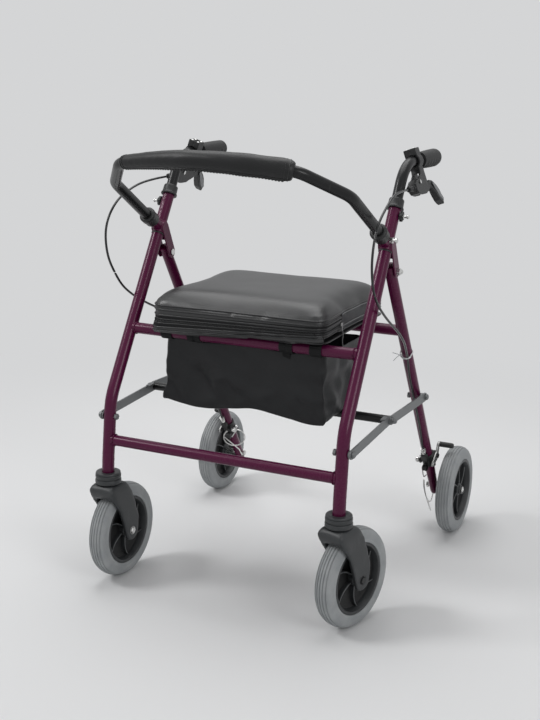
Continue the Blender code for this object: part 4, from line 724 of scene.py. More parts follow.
def eased(shape: Shape, chosen: Callable[[Vector], bool], rounds: int) -> None:
    """Smooth the chosen points of a shape in place, so many times."""
    verts = [vert for vert in shape.verts if chosen(vert.co)]
    for _ in range(rounds):
        bmesh.ops.smooth_vert(shape, verts=verts, factor=0.5, use_axis_x=True,
                              use_axis_y=True, use_axis_z=True)


def melted(shape: Shape, voxel: float, rounds: int) -> Shape:
    """Return a shape remeshed and smoothed, so that its edges look moulded.

    Args:
        shape: The shape, which is freed.
        voxel: The remesh size in metres.
        rounds: How often it is smoothed.

    Returns:
        The moulded shape.
    """
    holder = object_of(shape, "melt")
    shape.free()
    voxelled(holder, voxel)
    relax = holder.modifiers.new("relax", "SMOOTH")
    relax.factor = 0.5
    relax.iterations = rounds
    return applied(holder)


def applied(holder: bpy.types.Object) -> Shape:
    """Return an object's mesh with its modifiers applied, and remove the object."""
    graph = bpy.context.evaluated_depsgraph_get()
    data = bpy.data.meshes.new_from_object(holder.evaluated_get(graph))
    result = bmesh.new()
    result.from_mesh(data)
    bpy.data.meshes.remove(data)
    old = holder.data
    bpy.data.objects.remove(holder, do_unlink=True)
    bpy.data.meshes.remove(old)
    return result


def swollen(shape: Shape, voxel: float, pressure: float, cap: float) -> Shape:
    """Return a padded shape, swollen as air in a sewn cover would do it.

    Args:
        shape: The shape before swelling, which is freed.
        voxel: The remesh size in metres.
        pressure: The air's pressure in the cloth simulation.
        cap: How far a point may move.

    Returns:
        The swollen shape, remeshed before the simulation.
    """
    holder = object_of(shape, "pad")
    shape.free()
    voxelled(holder, voxel)
    start = applied(holder)
    holder = object_of(start, "pad")
    cloth = holder.modifiers.new("cloth", "CLOTH")
    cloth.settings.use_pressure = True
    cloth.settings.uniform_pressure_force = pressure
    cloth.settings.effector_weights.gravity = 0.0
    cloth.settings.tension_stiffness = CLOTH_STIFFNESS
    cloth.settings.compression_stiffness = CLOTH_STIFFNESS
    cloth.settings.bending_stiffness = CLOTH_BENDING
    cloth.point_cache.frame_start = 1
    cloth.point_cache.frame_end = CLOTH_FRAMES
    scene = bpy.context.scene
    for index in range(1, CLOTH_FRAMES + 1):
        scene.frame_set(index)
    result = applied(holder)
    scene.frame_set(1)
    start.verts.ensure_lookup_table()
    for vert in result.verts:
        origin = start.verts[vert.index].co if vert.index < len(start.verts) else vert.co
        shift = vert.co - origin
        if shift.length > cap:
            vert.co = origin + shift.normalized() * cap
    start.free()
    return result


def add_piece(name: str, shape: Shape, finish: Finish, body: str | None,
              replaces: Sequence[str] = (), sharp: float = 40.0,
              subdivide: int = 0) -> bpy.types.Object:
    """Make an object of a shape and hang it on a body of the frame.

    Args:
        name: The piece's name.
        shape: Its mesh, which is freed.
        finish: Its finish.
        body: The frame body that it rides on, or None to leave it unattached.
        replaces: The frame nodes that it stands for.
        sharp: The edge angle in degrees above which shading breaks.
        subdivide: Levels of subdivision.

    Returns:
        The piece.
    """
    piece = object_of(shape, name)
    shape.free()
    piece.data.shade_smooth()
    piece.data.set_sharp_from_angle(angle=math.radians(sharp))
    piece.data.materials.append(finish.material())
    if subdivide:
        surface = piece.modifiers.new("subdivision", "SUBSURF")
        surface.levels = subdivide
        surface.render_levels = subdivide
    if body is not None:
        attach(piece, body)
    if replaces:
        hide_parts(*replaces)
    LOG.info("%s on %s", name, body)
    return piece


def faced(piece: bpy.types.Object, finish: Finish, chosen: Callable[[Vector], bool]) -> None:
    """Give the faces of a piece that a test picks a second finish.

    Args:
        piece: The piece.
        finish: The second finish.
        chosen: Takes a face's centre and returns whether it is picked.
    """
    piece.data.materials.append(finish.material())
    for face in piece.data.polygons:
        if chosen(face.center):
            face.material_index = 1


class Skin:
    """A finished surface that seams and tapes are laid on."""

    def __init__(self, shape: Shape) -> None:
        """Hold a surface for measuring."""
        self.tree = BVHTree.FromBMesh(shape)

    def toward(self, start: Vector, aim: Vector, lift: float) -> Vector:
        """Return where a line from outside first meets the surface.

        Args:
            start: A point outside the surface.
            aim: A point inside it.
            lift: How far the result stands off the surface.

        Returns:
            The lifted point.
        """
        place, normal, _, _ = self.tree.ray_cast(start, (aim - start).normalized())
        if place is None:
            place, normal, _, _ = self.tree.find_nearest(start)
        if normal.dot(start - aim) < 0.0:
            normal = -normal
        return place + normal * lift


def closed_cord(points: Points, radius: float, sides: int = 10) -> Shape:
    """Return a round cord along a path that closes on itself."""
    rings = []
    count = len(points)
    for index, point in enumerate(points):
        way = (points[(index + 1) % count] - points[index - 1]).normalized()
        rings.append(circle(point, way, Z_AXIS, radius, sides))
    return loft(rings, False, True)


def laid_strip(rows: Rings, wall: float) -> Shape:
    """Return a strip of cloth through rows of points, as thick as its wall."""
    mesh = bmesh.new()
    grid = [[mesh.verts.new(point) for point in row] for row in rows]
    for first, second in zip(grid, grid[1:]):
        for index in range(len(first) - 1):
            mesh.faces.new((first[index], first[index + 1], second[index + 1], second[index]))
    bmesh.ops.recalc_face_normals(mesh, faces=mesh.faces)
    return thickened(mesh, wall)


def thickened(shape: Shape, wall: float) -> Shape:
    """Return a strip made into a closed sheet of a wall's thickness."""
    bmesh.ops.solidify(shape, geom=shape.faces[:], thickness=wall)
    bmesh.ops.recalc_face_normals(shape, faces=shape.faces)
    return shape


def tape(lines: Rings, wall: float) -> Shape:
    """Return a strip of cloth between lines that run along it."""
    return laid_strip([list(row) for row in zip(*lines)], wall)


def stitched(line: Points, gap: float, radius: float, drop: float = 0.0) -> list[Shape]:
    """Return a row of stitches.

    Args:
        line: The row, with a stitch between each two points.
        gap: The share of a stitch's length left free at each of its ends.
        radius: The thread's radius.
        drop: How far the row lies below the line.

    Returns:
        The stitches.
    """
    low = Z_AXIS * drop
    return [sweep([a.lerp(b, gap) - low, a.lerp(b, 1.0 - gap) - low], radius, 6, Z_AXIS)
            for a, b in zip(line, line[1:])]


def cross_bar(centre: Vector, reach: float, radius: float, sides: int = 32) -> Shape:
    """Return a round bar along X that reaches as far to each side of its centre."""
    ends = [Vector((x, centre.y, centre.z)) for x in (-reach, reach)]
    return sweep(spread(ends, 0.03), radius, sides, Z_AXIS)


def both_ways(profile: Profile) -> Profile:
    """Return a profile closed by its mirror image across distance zero."""
    return profile + [(-distance, radius) for distance, radius in reversed(profile)]


def rounded_corners(half_x: float, half_y: float, middle: float, radius: float, steps: int,
                    first: int) -> Marks:
    """Return the corner points of a rounded rectangle, counter-clockwise.

    Args:
        half_x: Half its width.
        half_y: Half its depth.
        middle: The Y of its middle.
        radius: The radius of its corners.
        steps: Steps round each corner.
        first: The quadrant of the first corner, 0 where X and Y are high.

    Returns:
        Pairs of a point at z 0 and its outward direction, the first pair again at the end.
    """
    signs = ((1, 1), (-1, 1), (-1, -1), (1, -1))
    marks = []
    for quadrant in range(first, first + 4):
        sign_x, sign_y = signs[quadrant % 4]
        centre = Vector((sign_x * (half_x - radius), sign_y * (half_y - radius) + middle, 0.0))
        for step in range(steps + 1):
            turn = math.radians(quadrant % 4 * 90 + 90 * step / steps)
            way = Vector((math.cos(turn), math.sin(turn), 0.0))
            marks.append((centre + way * radius, way))
    marks.append(marks[0])
    return marks


# Shared places of the frame


@dataclass(frozen=True)
class Layout:
    """Lines that the tubes follow, drawn for the right side."""

    half: float = 0.2449
    lean: float = math.radians(31.43)
    stem: Vector = Vector((0.2449, -0.2805, 0.2135))
    kink: float = 0.240
    bend: Vector = Vector((0.2449, -0.266, 0.3725))
    leg_upper: float = 0.3551
    elbow_rise: float = 0.0145
    hinge: Vector = Vector((0.2449, -0.0486, 0.6335))
    axle: Vector = Vector((0.2449, 0.2853, 0.095))
    rear_wheel_x: float = 0.2924
    front_rail_along: float = 0.1506
    rear_rail_along: float = 0.1559
    knob_along: float = 0.0574

    @property
    def up(self) -> Vector:
        """Return the direction of the upper leg."""
        return Vector((0.0, math.sin(self.lean), math.cos(self.lean)))

    @property
    def out(self) -> Vector:
        """Return the direction of the backrest receiver."""
        return Vector((0.0, -math.cos(self.lean), math.sin(self.lean)))

    @property
    def knee(self) -> Vector:
        """Return the point where the front leg starts to lean."""
        return Vector((self.half, self.stem.y, self.kink))

    def leg_at(self, along: float) -> Vector:
        """Return a point on the upper leg."""
        return self.bend + self.up * along

    def upright_at(self, along: float, out: float = 0.0) -> Vector:
        """Return a point on the upright, from its elbow."""
        elbow = self.leg_at(self.leg_upper + self.elbow_rise)
        return elbow + self.up * along + self.out * out

    @property
    def down(self) -> Vector:
        """Return the direction of the rear leg."""
        return (self.axle - self.hinge).normalized()

    @property
    def behind(self) -> Vector:
        """Return the direction square to the rear leg, to the rear."""
        return X_AXIS.cross(self.down)

    def rear_at(self, along: float, behind: float = 0.0, across: float = 0.0) -> Vector:
        """Return a point on the rear leg, from its hinge."""
        return (self.hinge + self.down * along + self.behind * behind
                + X_AXIS * across)


LAYOUT = Layout()


def dress(node: str, finish: Finish) -> None:
    """Give a frame node a better finish."""
    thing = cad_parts[node]
    for slot in thing.material_slots:
        slot.material = finish.material()


def cast(node: str, finish: Finish, body: str, voxel: float = 0.0010,
         rounds: int = 4) -> bpy.types.Object:
    """Stand a smoothly moulded copy in for a frame node.

    Args:
        node: The node.
        finish: The copy's finish.
        body: The body that it rides on.
        voxel: The remesh size.
        rounds: Rounds of smoothing.

    Returns:
        The piece.
    """
    return add_piece(f"{node}_moulded", melted(copy_of(node), voxel, rounds), finish, body,
                     (node,), 50.0)


@dataclass
class Studio:
    """A seamless pale table, a soft overhead light and a fill."""

    backdrop: tuple[float, float, float] = (0.660, 0.665, 0.672)
    floor: tuple[float, float, float] = (0.78, 0.785, 0.792)
    azimuth: float = 26.0
    elevation: float = 12.7
    roll: float = 0.42
    distance: float = 2.2508
    room: float = 0.30
    focal: float = 1154.1
    middle: tuple[float, float] = (260.3, 324.2)
    target: Vector = Vector((0.0028, -0.1105, 0.5175))

    def build(self) -> None:
        """Set up the table, the lights and the camera."""
        self._table()
        self._surround()
        self._light("overhead", (-0.3, 0.6, 3.0), (0.0, 0.0, 0.35), 2.4, 44.0)
        self._light("window", (-3.6, -2.2, 4.3), (0.0, 0.0, 0.40), 1.5, 98.0)
        self._light("fill", (3.6, -1.9, 2.3), (0.0, 0.0, 0.5), 1.6, 38.0)
        self._camera()

    def _table(self) -> None:
        """Lay a round table top that fades into the backdrop."""
        rings = [[Vector((math.cos(a) * r, math.sin(a) * r, 0.0))
                  for a in (2 * math.pi * i / 96 for i in range(96))]
                 for r in (0.02, 0.6, 1.2, 2.4, 5.0, 12.0)]
        shape = loft(rings, False)
        bmesh.ops.contextual_create(shape, geom=[e for e in shape.edges if e.is_boundary
                                    and e.verts[0].co.length < 0.1])
        table = object_of(shape, "table")
        shape.free()
        sheet = ShaderSheet("table_paper")
        where = sheet.place()
        across = sheet.part(where, 0)
        along = sheet.part(where, 1)
        reach = (across * across + along * along) ** 0.5
        fade = reach.between(0.75, 1.9)
        fibre = sheet.cloud(where, 260.0, 3.0)
        paper = sheet.node("ShaderNodeBsdfPrincipled", None, {
            "Base Color": sheet.blend(fibre * 0.04, self.floor, self.backdrop),
            "Roughness": 0.86 + fibre * 0.06})
        glow = sheet.node("ShaderNodeEmission", None, {"Color": self.backdrop})
        table.data.materials.append(sheet.node_output(
            sheet.node("ShaderNodeMixShader", None, {0: fade, 1: paper, 2: glow})))

    def _surround(self) -> None:
        """Fill the room with soft light and show the backdrop to the camera."""
        world = bpy.data.worlds.new("surround")
        world.use_nodes = True
        tree = world.node_tree
        tree.nodes.clear()
        kinds = ("LightPath", "Background", "Background", "Math", "MixShader", "OutputWorld")
        path, seen, room, shown, mix, out = (tree.nodes.new(f"ShaderNode{kind}")
                                             for kind in kinds)
        seen.inputs[0].default_value = (*self.backdrop, 1.0)
        room.inputs[0].default_value = (1.0, 1.0, 1.0, 1.0)
        room.inputs[1].default_value = self.room
        shown.operation = "MAXIMUM"
        for source, target in ((path.outputs["Is Camera Ray"], shown.inputs[0]),
                               (path.outputs["Is Glossy Ray"], shown.inputs[1]),
                               (shown.outputs[0], mix.inputs[0]),
                               (room.outputs[0], mix.inputs[1]),
                               (seen.outputs[0], mix.inputs[2]),
                               (mix.outputs[0], out.inputs[0])):
            tree.links.new(source, target)
        bpy.context.scene.world = world

    def _light(self, name: str, place: tuple[float, float, float],
               aim: tuple[float, float, float], size: float, power: float) -> None:
        """Hang a square soft box.

        Args:
            name: Its name.
            place: Where it hangs.
            aim: What it points at.
            size: Its width in metres.
            power: Its power in watts.
        """
        data = bpy.data.lights.new(name, "AREA")
        data.size = size
        data.energy = power
        lamp = bpy.data.objects.new(name, data)
        lamp.location = place
        lamp.rotation_euler = (Vector(aim) - Vector(place)).to_track_quat("-Z", "Y").to_euler()
        bpy.context.scene.collection.objects.link(lamp)

    def _camera(self) -> None:
        """Place the camera at its measured station."""
        scene = bpy.context.scene
        turn, rise, roll = (math.radians(v) for v in (self.azimuth, self.elevation, self.roll))
        back = Vector((math.sin(turn) * math.cos(rise), -math.cos(turn) * math.cos(rise),
                       math.sin(rise)))
        right = Vector((math.cos(turn), math.sin(turn), 0.0))
        up = back.cross(right)
        right, up = (right * math.cos(roll) + up * math.sin(roll),
                     up * math.cos(roll) - right * math.sin(roll))
        data = bpy.data.cameras.new("camera")
        data.sensor_width = 36.0
        data.lens = self.focal / VIEW_HEIGHT * data.sensor_width
        data.shift_x = (VIEW_WIDTH / 2 - self.middle[0]) / VIEW_HEIGHT
        data.shift_y = (self.middle[1] - VIEW_HEIGHT / 2) / VIEW_HEIGHT
        data.clip_end = 50.0
        camera = bpy.data.objects.new("camera", data)
        camera.matrix_world = Matrix.Translation(self.target + back * self.distance) @ Matrix(
            (right, up, back)).transposed().to_4x4()
        scene.collection.objects.link(camera)
        scene.camera = camera
        scene.view_settings.view_transform = "Standard"


LEG_PLUG = [(-0.0006, 0.0121), (-0.0006, 0.0128), (0.0, 0.0131), (0.0016, 0.0131),
            (0.0023, 0.0126), (0.0023, 0.0100), (-0.0006, 0.0100)]
HANDLE_COLLAR = [(0.0, 0.0108), (0.0, 0.0161), (0.0008, 0.0166), (0.0030, 0.0166),
                 (0.0040, 0.0158), (0.0062, 0.0150), (0.0150, 0.0146), (0.0182, 0.0146),
                 (0.0198, 0.0140), (0.0206, 0.0128), (0.0206, 0.0108)]
BACKREST_COLLAR = [(0.0, 0.0108), (0.0, 0.0148), (0.0012, 0.0153), (0.0160, 0.0153),
                   (0.0182, 0.0160), (0.0200, 0.0165), (0.0246, 0.0165), (0.0266, 0.0155),
                   (0.0280, 0.0136), (0.0280, 0.0108)]


@dataclass
class FrontFrame:
    """Two bent legs with their uprights, two cross rails, collars and plugs."""

    leg_radius: float = 0.012
    upper_rail_radius: float = 0.011
    lower_rail_radius: float = 0.0105
    lower_rail_z: float = 0.2932
    bend_radius: float = 0.10
    collar_along: float = 0.0713
    collar_out: float = 0.032

    def build(self) -> None:
        """Build the pieces that ride on the front frame."""
        for side in Side:
            self._leg(side)
            self._upright_trim(side)
        self._rails()

    def _leg(self, side: Side) -> None:
        """Bend one leg and plug its top."""
        corners = [LAYOUT.stem, LAYOUT.knee, LAYOUT.bend, LAYOUT.leg_at(LAYOUT.leg_upper)]
        path = spread(self._route(corners), 0.01)
        shape = mirrored(sweep(path, self.leg_radius, 32), side)
        node = f"front_leg_{side.tag}"
        add_piece(f"{node}_tube", shape, BURGUNDY, "front_frame", (node,))
        top = LAYOUT.leg_at(LAYOUT.leg_upper - 0.0022)
        plug = lathe(LEG_PLUG, top, LAYOUT.up, 40, True)
        add_piece(f"leg_plug_{side.tag}", mirrored(plug, side), PLASTIC, "front_frame")

    def _route(self, corners: Points) -> Points:
        """Return the leg's centre line with its two bends."""
        low = corners[0].lerp(corners[1], 0.5)
        start = corners[1].lerp(corners[2], 0.12)
        past = corners[1].lerp(corners[2], 0.3)
        soft = smooth_route([corners[0], low, start, past], 6)
        bent = rounded_path([past, corners[2], corners[3]], self.bend_radius)
        return soft + bent[1:]

    def _rails(self) -> None:
        """Run the two rails between the legs."""
        reach = LAYOUT.half - self.leg_radius * 0.6
        upper = LAYOUT.leg_at(LAYOUT.front_rail_along)
        knee = LAYOUT.knee
        share = (self.lower_rail_z - knee.z) / (LAYOUT.bend.z - knee.z)
        lower = knee.lerp(LAYOUT.bend, share)
        for name, centre, radius in (("seat_front_rail", upper, self.upper_rail_radius),
                                     ("lower_cross_tube", lower, self.lower_rail_radius)):
            tube = cross_bar(centre, reach, radius)
            weld_x = LAYOUT.half - self.leg_radius * 1.02
            beads = [self._weld(side.place(Vector((weld_x, centre.y, centre.z))),
                                -X_AXIS * side.value) for side in Side]
            add_piece(f"{name}_tube", joined(tube, *beads), BURGUNDY, "front_frame",
                      (name,))

    def _weld(self, place: Vector, inward: Vector) -> Shape:
        """Return a rippled weld bead round a rail's end."""
        points = []
        for index in range(56):
            turn = 2 * math.pi * index / 56
            flat = Vector((0.0, math.cos(turn), math.sin(turn)))
            ripple = 0.00025 * math.sin(turn * 19)
            points.append(place + inward * (0.0012 + ripple) + flat * 0.0113)
        return closed_cord(points, 0.0014, 8)

    def _upright_trim(self, side: Side) -> None:
        """Stand the upright and its two collars, and dress the backrest and hinge bolts in zinc.
        """
        cast(f"upright_{side.tag}", BURGUNDY, "front_frame", 0.0010, 5)
        collars = (
            ("handle_collar", HANDLE_COLLAR, LAYOUT.upright_at(self.collar_along), LAYOUT.up),
            ("backrest_collar", BACKREST_COLLAR, LAYOUT.upright_at(0.0, self.collar_out),
             LAYOUT.out))
        for name, profile, place, way in collars:
            node = f"{name}_{side.tag}"
            add_piece(f"{node}_moulded", mirrored(lathe(profile, place, way, 48, True), side),
                      PLASTIC, "front_frame", (node,))
        dress(f"backrest_bolt_{side.tag}", ZINC)
        dress(f"hinge_bolt_{side.tag}", ZINC)


@dataclass
class Backrest:
    """The bow tube and its foam sleeve."""

    tube_radius: float = 0.0105
    pad_radius: float = 0.0205
    pad_reach: float = 0.1675
    seam_radius: float = 0.0011

    def half_path(self) -> Points:
        """Return the bow's centre line from its right end to its middle."""
        pad_end = Vector((0.1750, -0.3260, 0.8385))
        middle = Vector((0.0, -0.3650, 0.8540))
        shoulder = pad_end.lerp(middle, 0.45)
        shoulder += Vector((0.0, -0.0035, 0.0030))
        corners = [LAYOUT.upright_at(0.0, 0.0142), LAYOUT.upright_at(0.0, 0.074),
                   Vector((0.2390, -0.2440, 0.7920)), pad_end, shoulder]
        return rounded_path(corners, 0.055) + [middle]

    def path(self) -> Points:
        """Return the whole centre line from right to left."""
        half = self.half_path()
        other = [Vector((-p.x, p.y, p.z)) for p in reversed(half[:-1])]
        whole = spread(half + other, 0.006)
        for _ in range(60):
            whole = [a.lerp(b, 0.5) if abs(p.x) < 0.150 else p for a, p, b in
                     zip(whole[:1] + whole[:-1], whole, whole[1:] + whole[-1:])]
        return whole

    def build(self) -> None:
        """Build the bow and its sleeve."""
        path = spread(self.path(), 0.008)
        add_piece("backrest_bow", sweep(path, self.tube_radius, 32, X_AXIS), BLACK_TUBE,
                  "backrest", ("backrest_tube",), 60.0)
        self._sleeve([p for p in spread(self.path(), 0.006) if abs(p.x) < self.pad_reach])

    def _sleeve(self, core: Points) -> None:
        """Swell the vinyl sleeve over its foam.

        Args:
            core: The part of the bow inside the sleeve.
        """
        count = len(core) - 1

        def size(share: float) -> float:
            """Return the sleeve's radius at a share of its length."""
            edge = min(min(share, 1.0 - share) * count / 3.5, 1.0)
            plump = 0.0009 * noise.noise(Vector((share * 9.0, 0.4, 0.2)))
            thin = 1.0 - 0.33 * share ** 1.6
            return (self.pad_radius - 0.0006) * thin * (0.86 + 0.14 * edge ** 0.5) + plump

        sleeve = swollen(sweep(core, size, 28, Z_AXIS, 0.18), 0.0042, 2.6, 0.0034)
        skin = Skin(sleeve)
        piece = add_piece("backrest_sleeve", sleeve, PAD_SKIN, "backrest",
                          ("backrest_pad",), 60.0, 1)
        self._sleeve_seams(core, skin)

    def _sleeve_seams(self, core: Points, skin: Skin) -> None:
        """Sew the sleeve's lower seam and its two hems.

        Args:
            core: The part of the bow inside the sleeve.
            skin: The sleeve's surface.
        """
        ways = tangents(core)
        seams, stitches = [], []
        for turn in (math.radians(-52.0), math.radians(-66.0)):
            line = []
            for point, way in list(zip(core, ways))[2:-2]:
                across = way.cross(Z_AXIS).normalized()
                if across.y > 0.0:
                    across = -across
                rise = across.cross(way).normalized()
                rise = rise if rise.z > 0.0 else -rise
                out = across * math.cos(turn) + rise * math.sin(turn)
                line.append(skin.toward(point + out * 0.05, point, 0.0002))
            seams.append(sweep(line, self.seam_radius, 8, Z_AXIS))
            stitches += stitched(line, 0.2, 0.0005, 0.0016)
        for index, inward in ((1, 1), (len(core) - 2, -1)):
            way = ways[index]
            for shift, radius in ((0.0, 0.0009), (0.0062 * inward, 0.0005)):
                ring = []
                for corner in circle(core[index] + way * shift, way, Z_AXIS, 0.05, 72):
                    ring.append(skin.toward(corner, core[index] + way * shift, 0.0001))
                seams.append(closed_cord(ring, radius, 8))
        add_piece("backrest_seams", joined(*seams, *stitches), PIPING, "backrest")


@dataclass
class Handle:
    """One handle: its tube, grip, lever bracket, lever and hand screw."""

    side: Side
    radius: float = 0.0105
    height: float = 0.831
    bend_radius: float = 0.075
    rear_end: float = 0.1885
    holes: int = 6
    hole_pitch: float = 0.0254
    hole_radius: float = 0.0036
    grip_start: float = 0.0915
    grip_end: float = 0.1958
    ridges: int = 5
    bracket_lean: float = math.radians(20.0)
    screw_x: float = 0.0072
    screw_rows: tuple[float, ...] = (0.0625, 0.0757)
    rib_rows: tuple[float, ...] = (0.0580, 0.0635, 0.0690, 0.0745, 0.0800)
    lever_pivot: Vector = Vector((0.0, 0.038, -0.0415))

    @property
    def centre(self) -> Vector:
        """Return the point on the grip's axis that the bracket is drawn from."""
        return Vector((LAYOUT.half, 0.0, self.height))

    @property
    def lean(self) -> Matrix:
        """Return the turn that leans the bracket out from the grip."""
        return Matrix.Rotation(-self.bracket_lean, 3, "Y")

    @property
    def body(self) -> str:
        """Return the body that the handle rides on."""
        return f"handle_{self.side.tag}"

    def build(self) -> None:
        """Build the handle's pieces."""
        self._tube()
        self._grip()
        tag = self.side.tag
        cast(f"lever_bracket_{tag}", PLASTIC, self.body, 0.0009, 3)
        cast(f"brake_lever_{tag}", PLASTIC, f"brake_lever_{tag}", 0.0009, 4)
        knob = cast(f"height_knob_{tag}", PLASTIC, f"height_knob_{tag}", 0.0007,
                    3)
        faced(knob, ZINC, lambda place: abs(place.x) > LAYOUT.half + 0.0212)
        self._stud()
        self._clamp_trim()
        self._inset()

    def _stud(self) -> None:
        """Set the chrome stud of the height knob."""
        stud = LAYOUT.upright_at(LAYOUT.knob_along) + X_AXIS * 0.0288
        shape = lathe([(0.0, 0.0), (0.0, 0.0034), (0.0012, 0.0034), (0.0014, 0.0022),
                       (0.0040, 0.0022), (0.0042, 0.0030), (0.0056, 0.0030), (0.0062, 0.0)],
                      stud - X_AXIS * 0.0036, X_AXIS, 24)
        tag = self.side.tag
        add_piece(f"height_stud_{tag}", mirrored(shape, self.side), ZINC, f"height_knob_{tag}")

    def _clamp_trim(self) -> None:
        """Set the clamp's screws and ribs and the caps of the lever's pin."""
        centre = self.centre
        screws, ribs = [], []
        for y in self.screw_rows:
            for x in (-self.screw_x, self.screw_x):
                place = centre + Vector((x, y, 0.0229))
                screws.append(lathe([(0.0, 0.0), (0.0, 0.0030), (0.0012, 0.0029),
                                     (0.0019, 0.0020), (0.0014, 0.0009), (0.0008, 0.0)],
                                    place, Z_AXIS, 20))
        for y in self.rib_rows:
            ribs.append(softened(box_shape(centre + Vector((-0.0118, y - 0.0011, 0.0224)),
                                           centre + Vector((0.0118, y + 0.0011, 0.0243))),
                                 0.0006))
        pin = centre + self.lever_pivot
        for way in (-1.0, 1.0):
            screws.append(lathe([(0.0, 0.0), (0.0, 0.0040), (0.0010, 0.0040), (0.0014, 0.0030),
                                 (0.0006, 0.0020), (0.0006, 0.0)],
                                pin + X_AXIS * way * 0.0105, X_AXIS * way, 24))
        for name, shapes, finish, slot in (("bracket_screws", screws, ZINC, Slot.ZINC),
                                           ("bracket_ribs", ribs, PLASTIC, Slot.PLASTIC)):
            whole = turned_about(joined(*shapes), centre, self.lean)
            add_piece(f"{name}_{self.side.tag}", mirrored(whole, self.side), finish, self.body)

    def _inset(self) -> None:
        """Lay the lever's pale inset on both of its sides."""
        tag = self.side.tag
        inset = [(0.1190, 0.0478), (0.1335, 0.0608), (0.1500, 0.0795), (0.1535, 0.0850),
                 (0.1495, 0.0893), (0.1340, 0.0790), (0.1200, 0.0600), (0.1130, 0.0500)]
        cheeks = []
        lever = Skin(copy_of(f"brake_lever_{tag}"))
        for way in (-1.0, 1.0):
            outline = [self.centre + Vector((0.0, y, -drop)) for y, drop in inset]
            cheek = softened(plate(outline, X_AXIS * way * 0.0009), 0.0004)
            cheek = mirrored(turned_about(cheek, self.centre, self.lean), self.side)
            out = self.side.place(self.lean @ (X_AXIS * way))
            middle = sum((v.co for v in cheek.verts), Vector()) / len(cheek.verts)
            face = lever.toward(middle + out * 0.03, middle, 0.0)
            cheek.transform(Matrix.Translation(out * (face - middle).dot(out)))
            cheeks.append(cheek)
        add_piece(f"lever_inset_{tag}", joined(*cheeks), CLEAR_GREY, f"brake_lever_{tag}")

    def _tube(self) -> None:
        """Bend the handle tube, with the dark mouths of its adjusting holes."""
        rise = (self.height - LAYOUT.upright_at(0.0).z) / LAYOUT.up.z
        corner = LAYOUT.upright_at(rise)
        corners = [LAYOUT.upright_at(0.0879 - 0.236), corner,
                   Vector((LAYOUT.half, self.rear_end, self.height))]
        path = spread(rounded_path(corners, self.bend_radius), 0.012)
        node = f"handle_tube_{self.side.tag}"
        add_piece(f"{node}_bent", mirrored(sweep(path, self.radius, 32), self.side), BLACK_TUBE,
                  self.body, (node,), 60.0)
        mouths = []
        for index in range(self.holes):
            place = LAYOUT.upright_at(LAYOUT.knob_along - index * self.hole_pitch)
            start = place + X_AXIS * (self.radius - 0.0012)
            mouth = lathe([(0.0, 0.0), (0.0, self.hole_radius), (0.0014, self.hole_radius),
                           (0.0014, 0.0020), (0.0014, 0.0)], start, X_AXIS, 20)
            for vert in mouth.verts:
                spoke = vert.co - place
                spoke -= LAYOUT.up * spoke.dot(LAYOUT.up)
                vert.co -= spoke * max(0.0, 1.0 - (self.radius + 0.00015) / spoke.length)
            mouths.append(mouth)
        add_piece(f"handle_holes_{self.side.tag}", mirrored(joined(*mouths), self.side),
                  GRIP_RUBBER, self.body)

    def _grip(self) -> None:
        """Mould the grip with its flange, finger ridges and round end."""
        rings = []
        steps = 72
        for index in range(steps + 1):
            share = index / steps
            y = self.grip_start + (self.grip_end - self.grip_start) * share
            size = 0.0152 + 0.0020 * math.sin(min(share * 0.62, 0.5) * math.pi)
            if share < 0.04:
                size = 0.0168
            elif share < 0.07:
                size = 0.0152
            tip = max(0.0, (share - 0.925) / 0.075)
            size *= math.sqrt(max(1.0 - tip * tip, 0.02))
            centre = Vector((LAYOUT.half, y, self.height))
            ring = circle(centre, Y_AXIS, Z_AXIS, size, 40)
            for point in ring:
                lower = max(0.0, -(point - centre).normalized().z)
                along = share - 0.12
                if 0.0 < along < 0.74:
                    swirl = (point.x - centre.x) * 14.0
                    wave = math.cos((along / 0.74 * self.ridges + swirl) * 2 * math.pi)
                    point += (point - centre).normalized() * (0.0015 * lower ** 0.6 * wave)
            rings.append(ring)
        node = f"grip_{self.side.tag}"
        piece = add_piece(f"{node}_moulded", mirrored(loft(rings), self.side), GRIP_RUBBER,
                          self.body, (node,), 50.0)


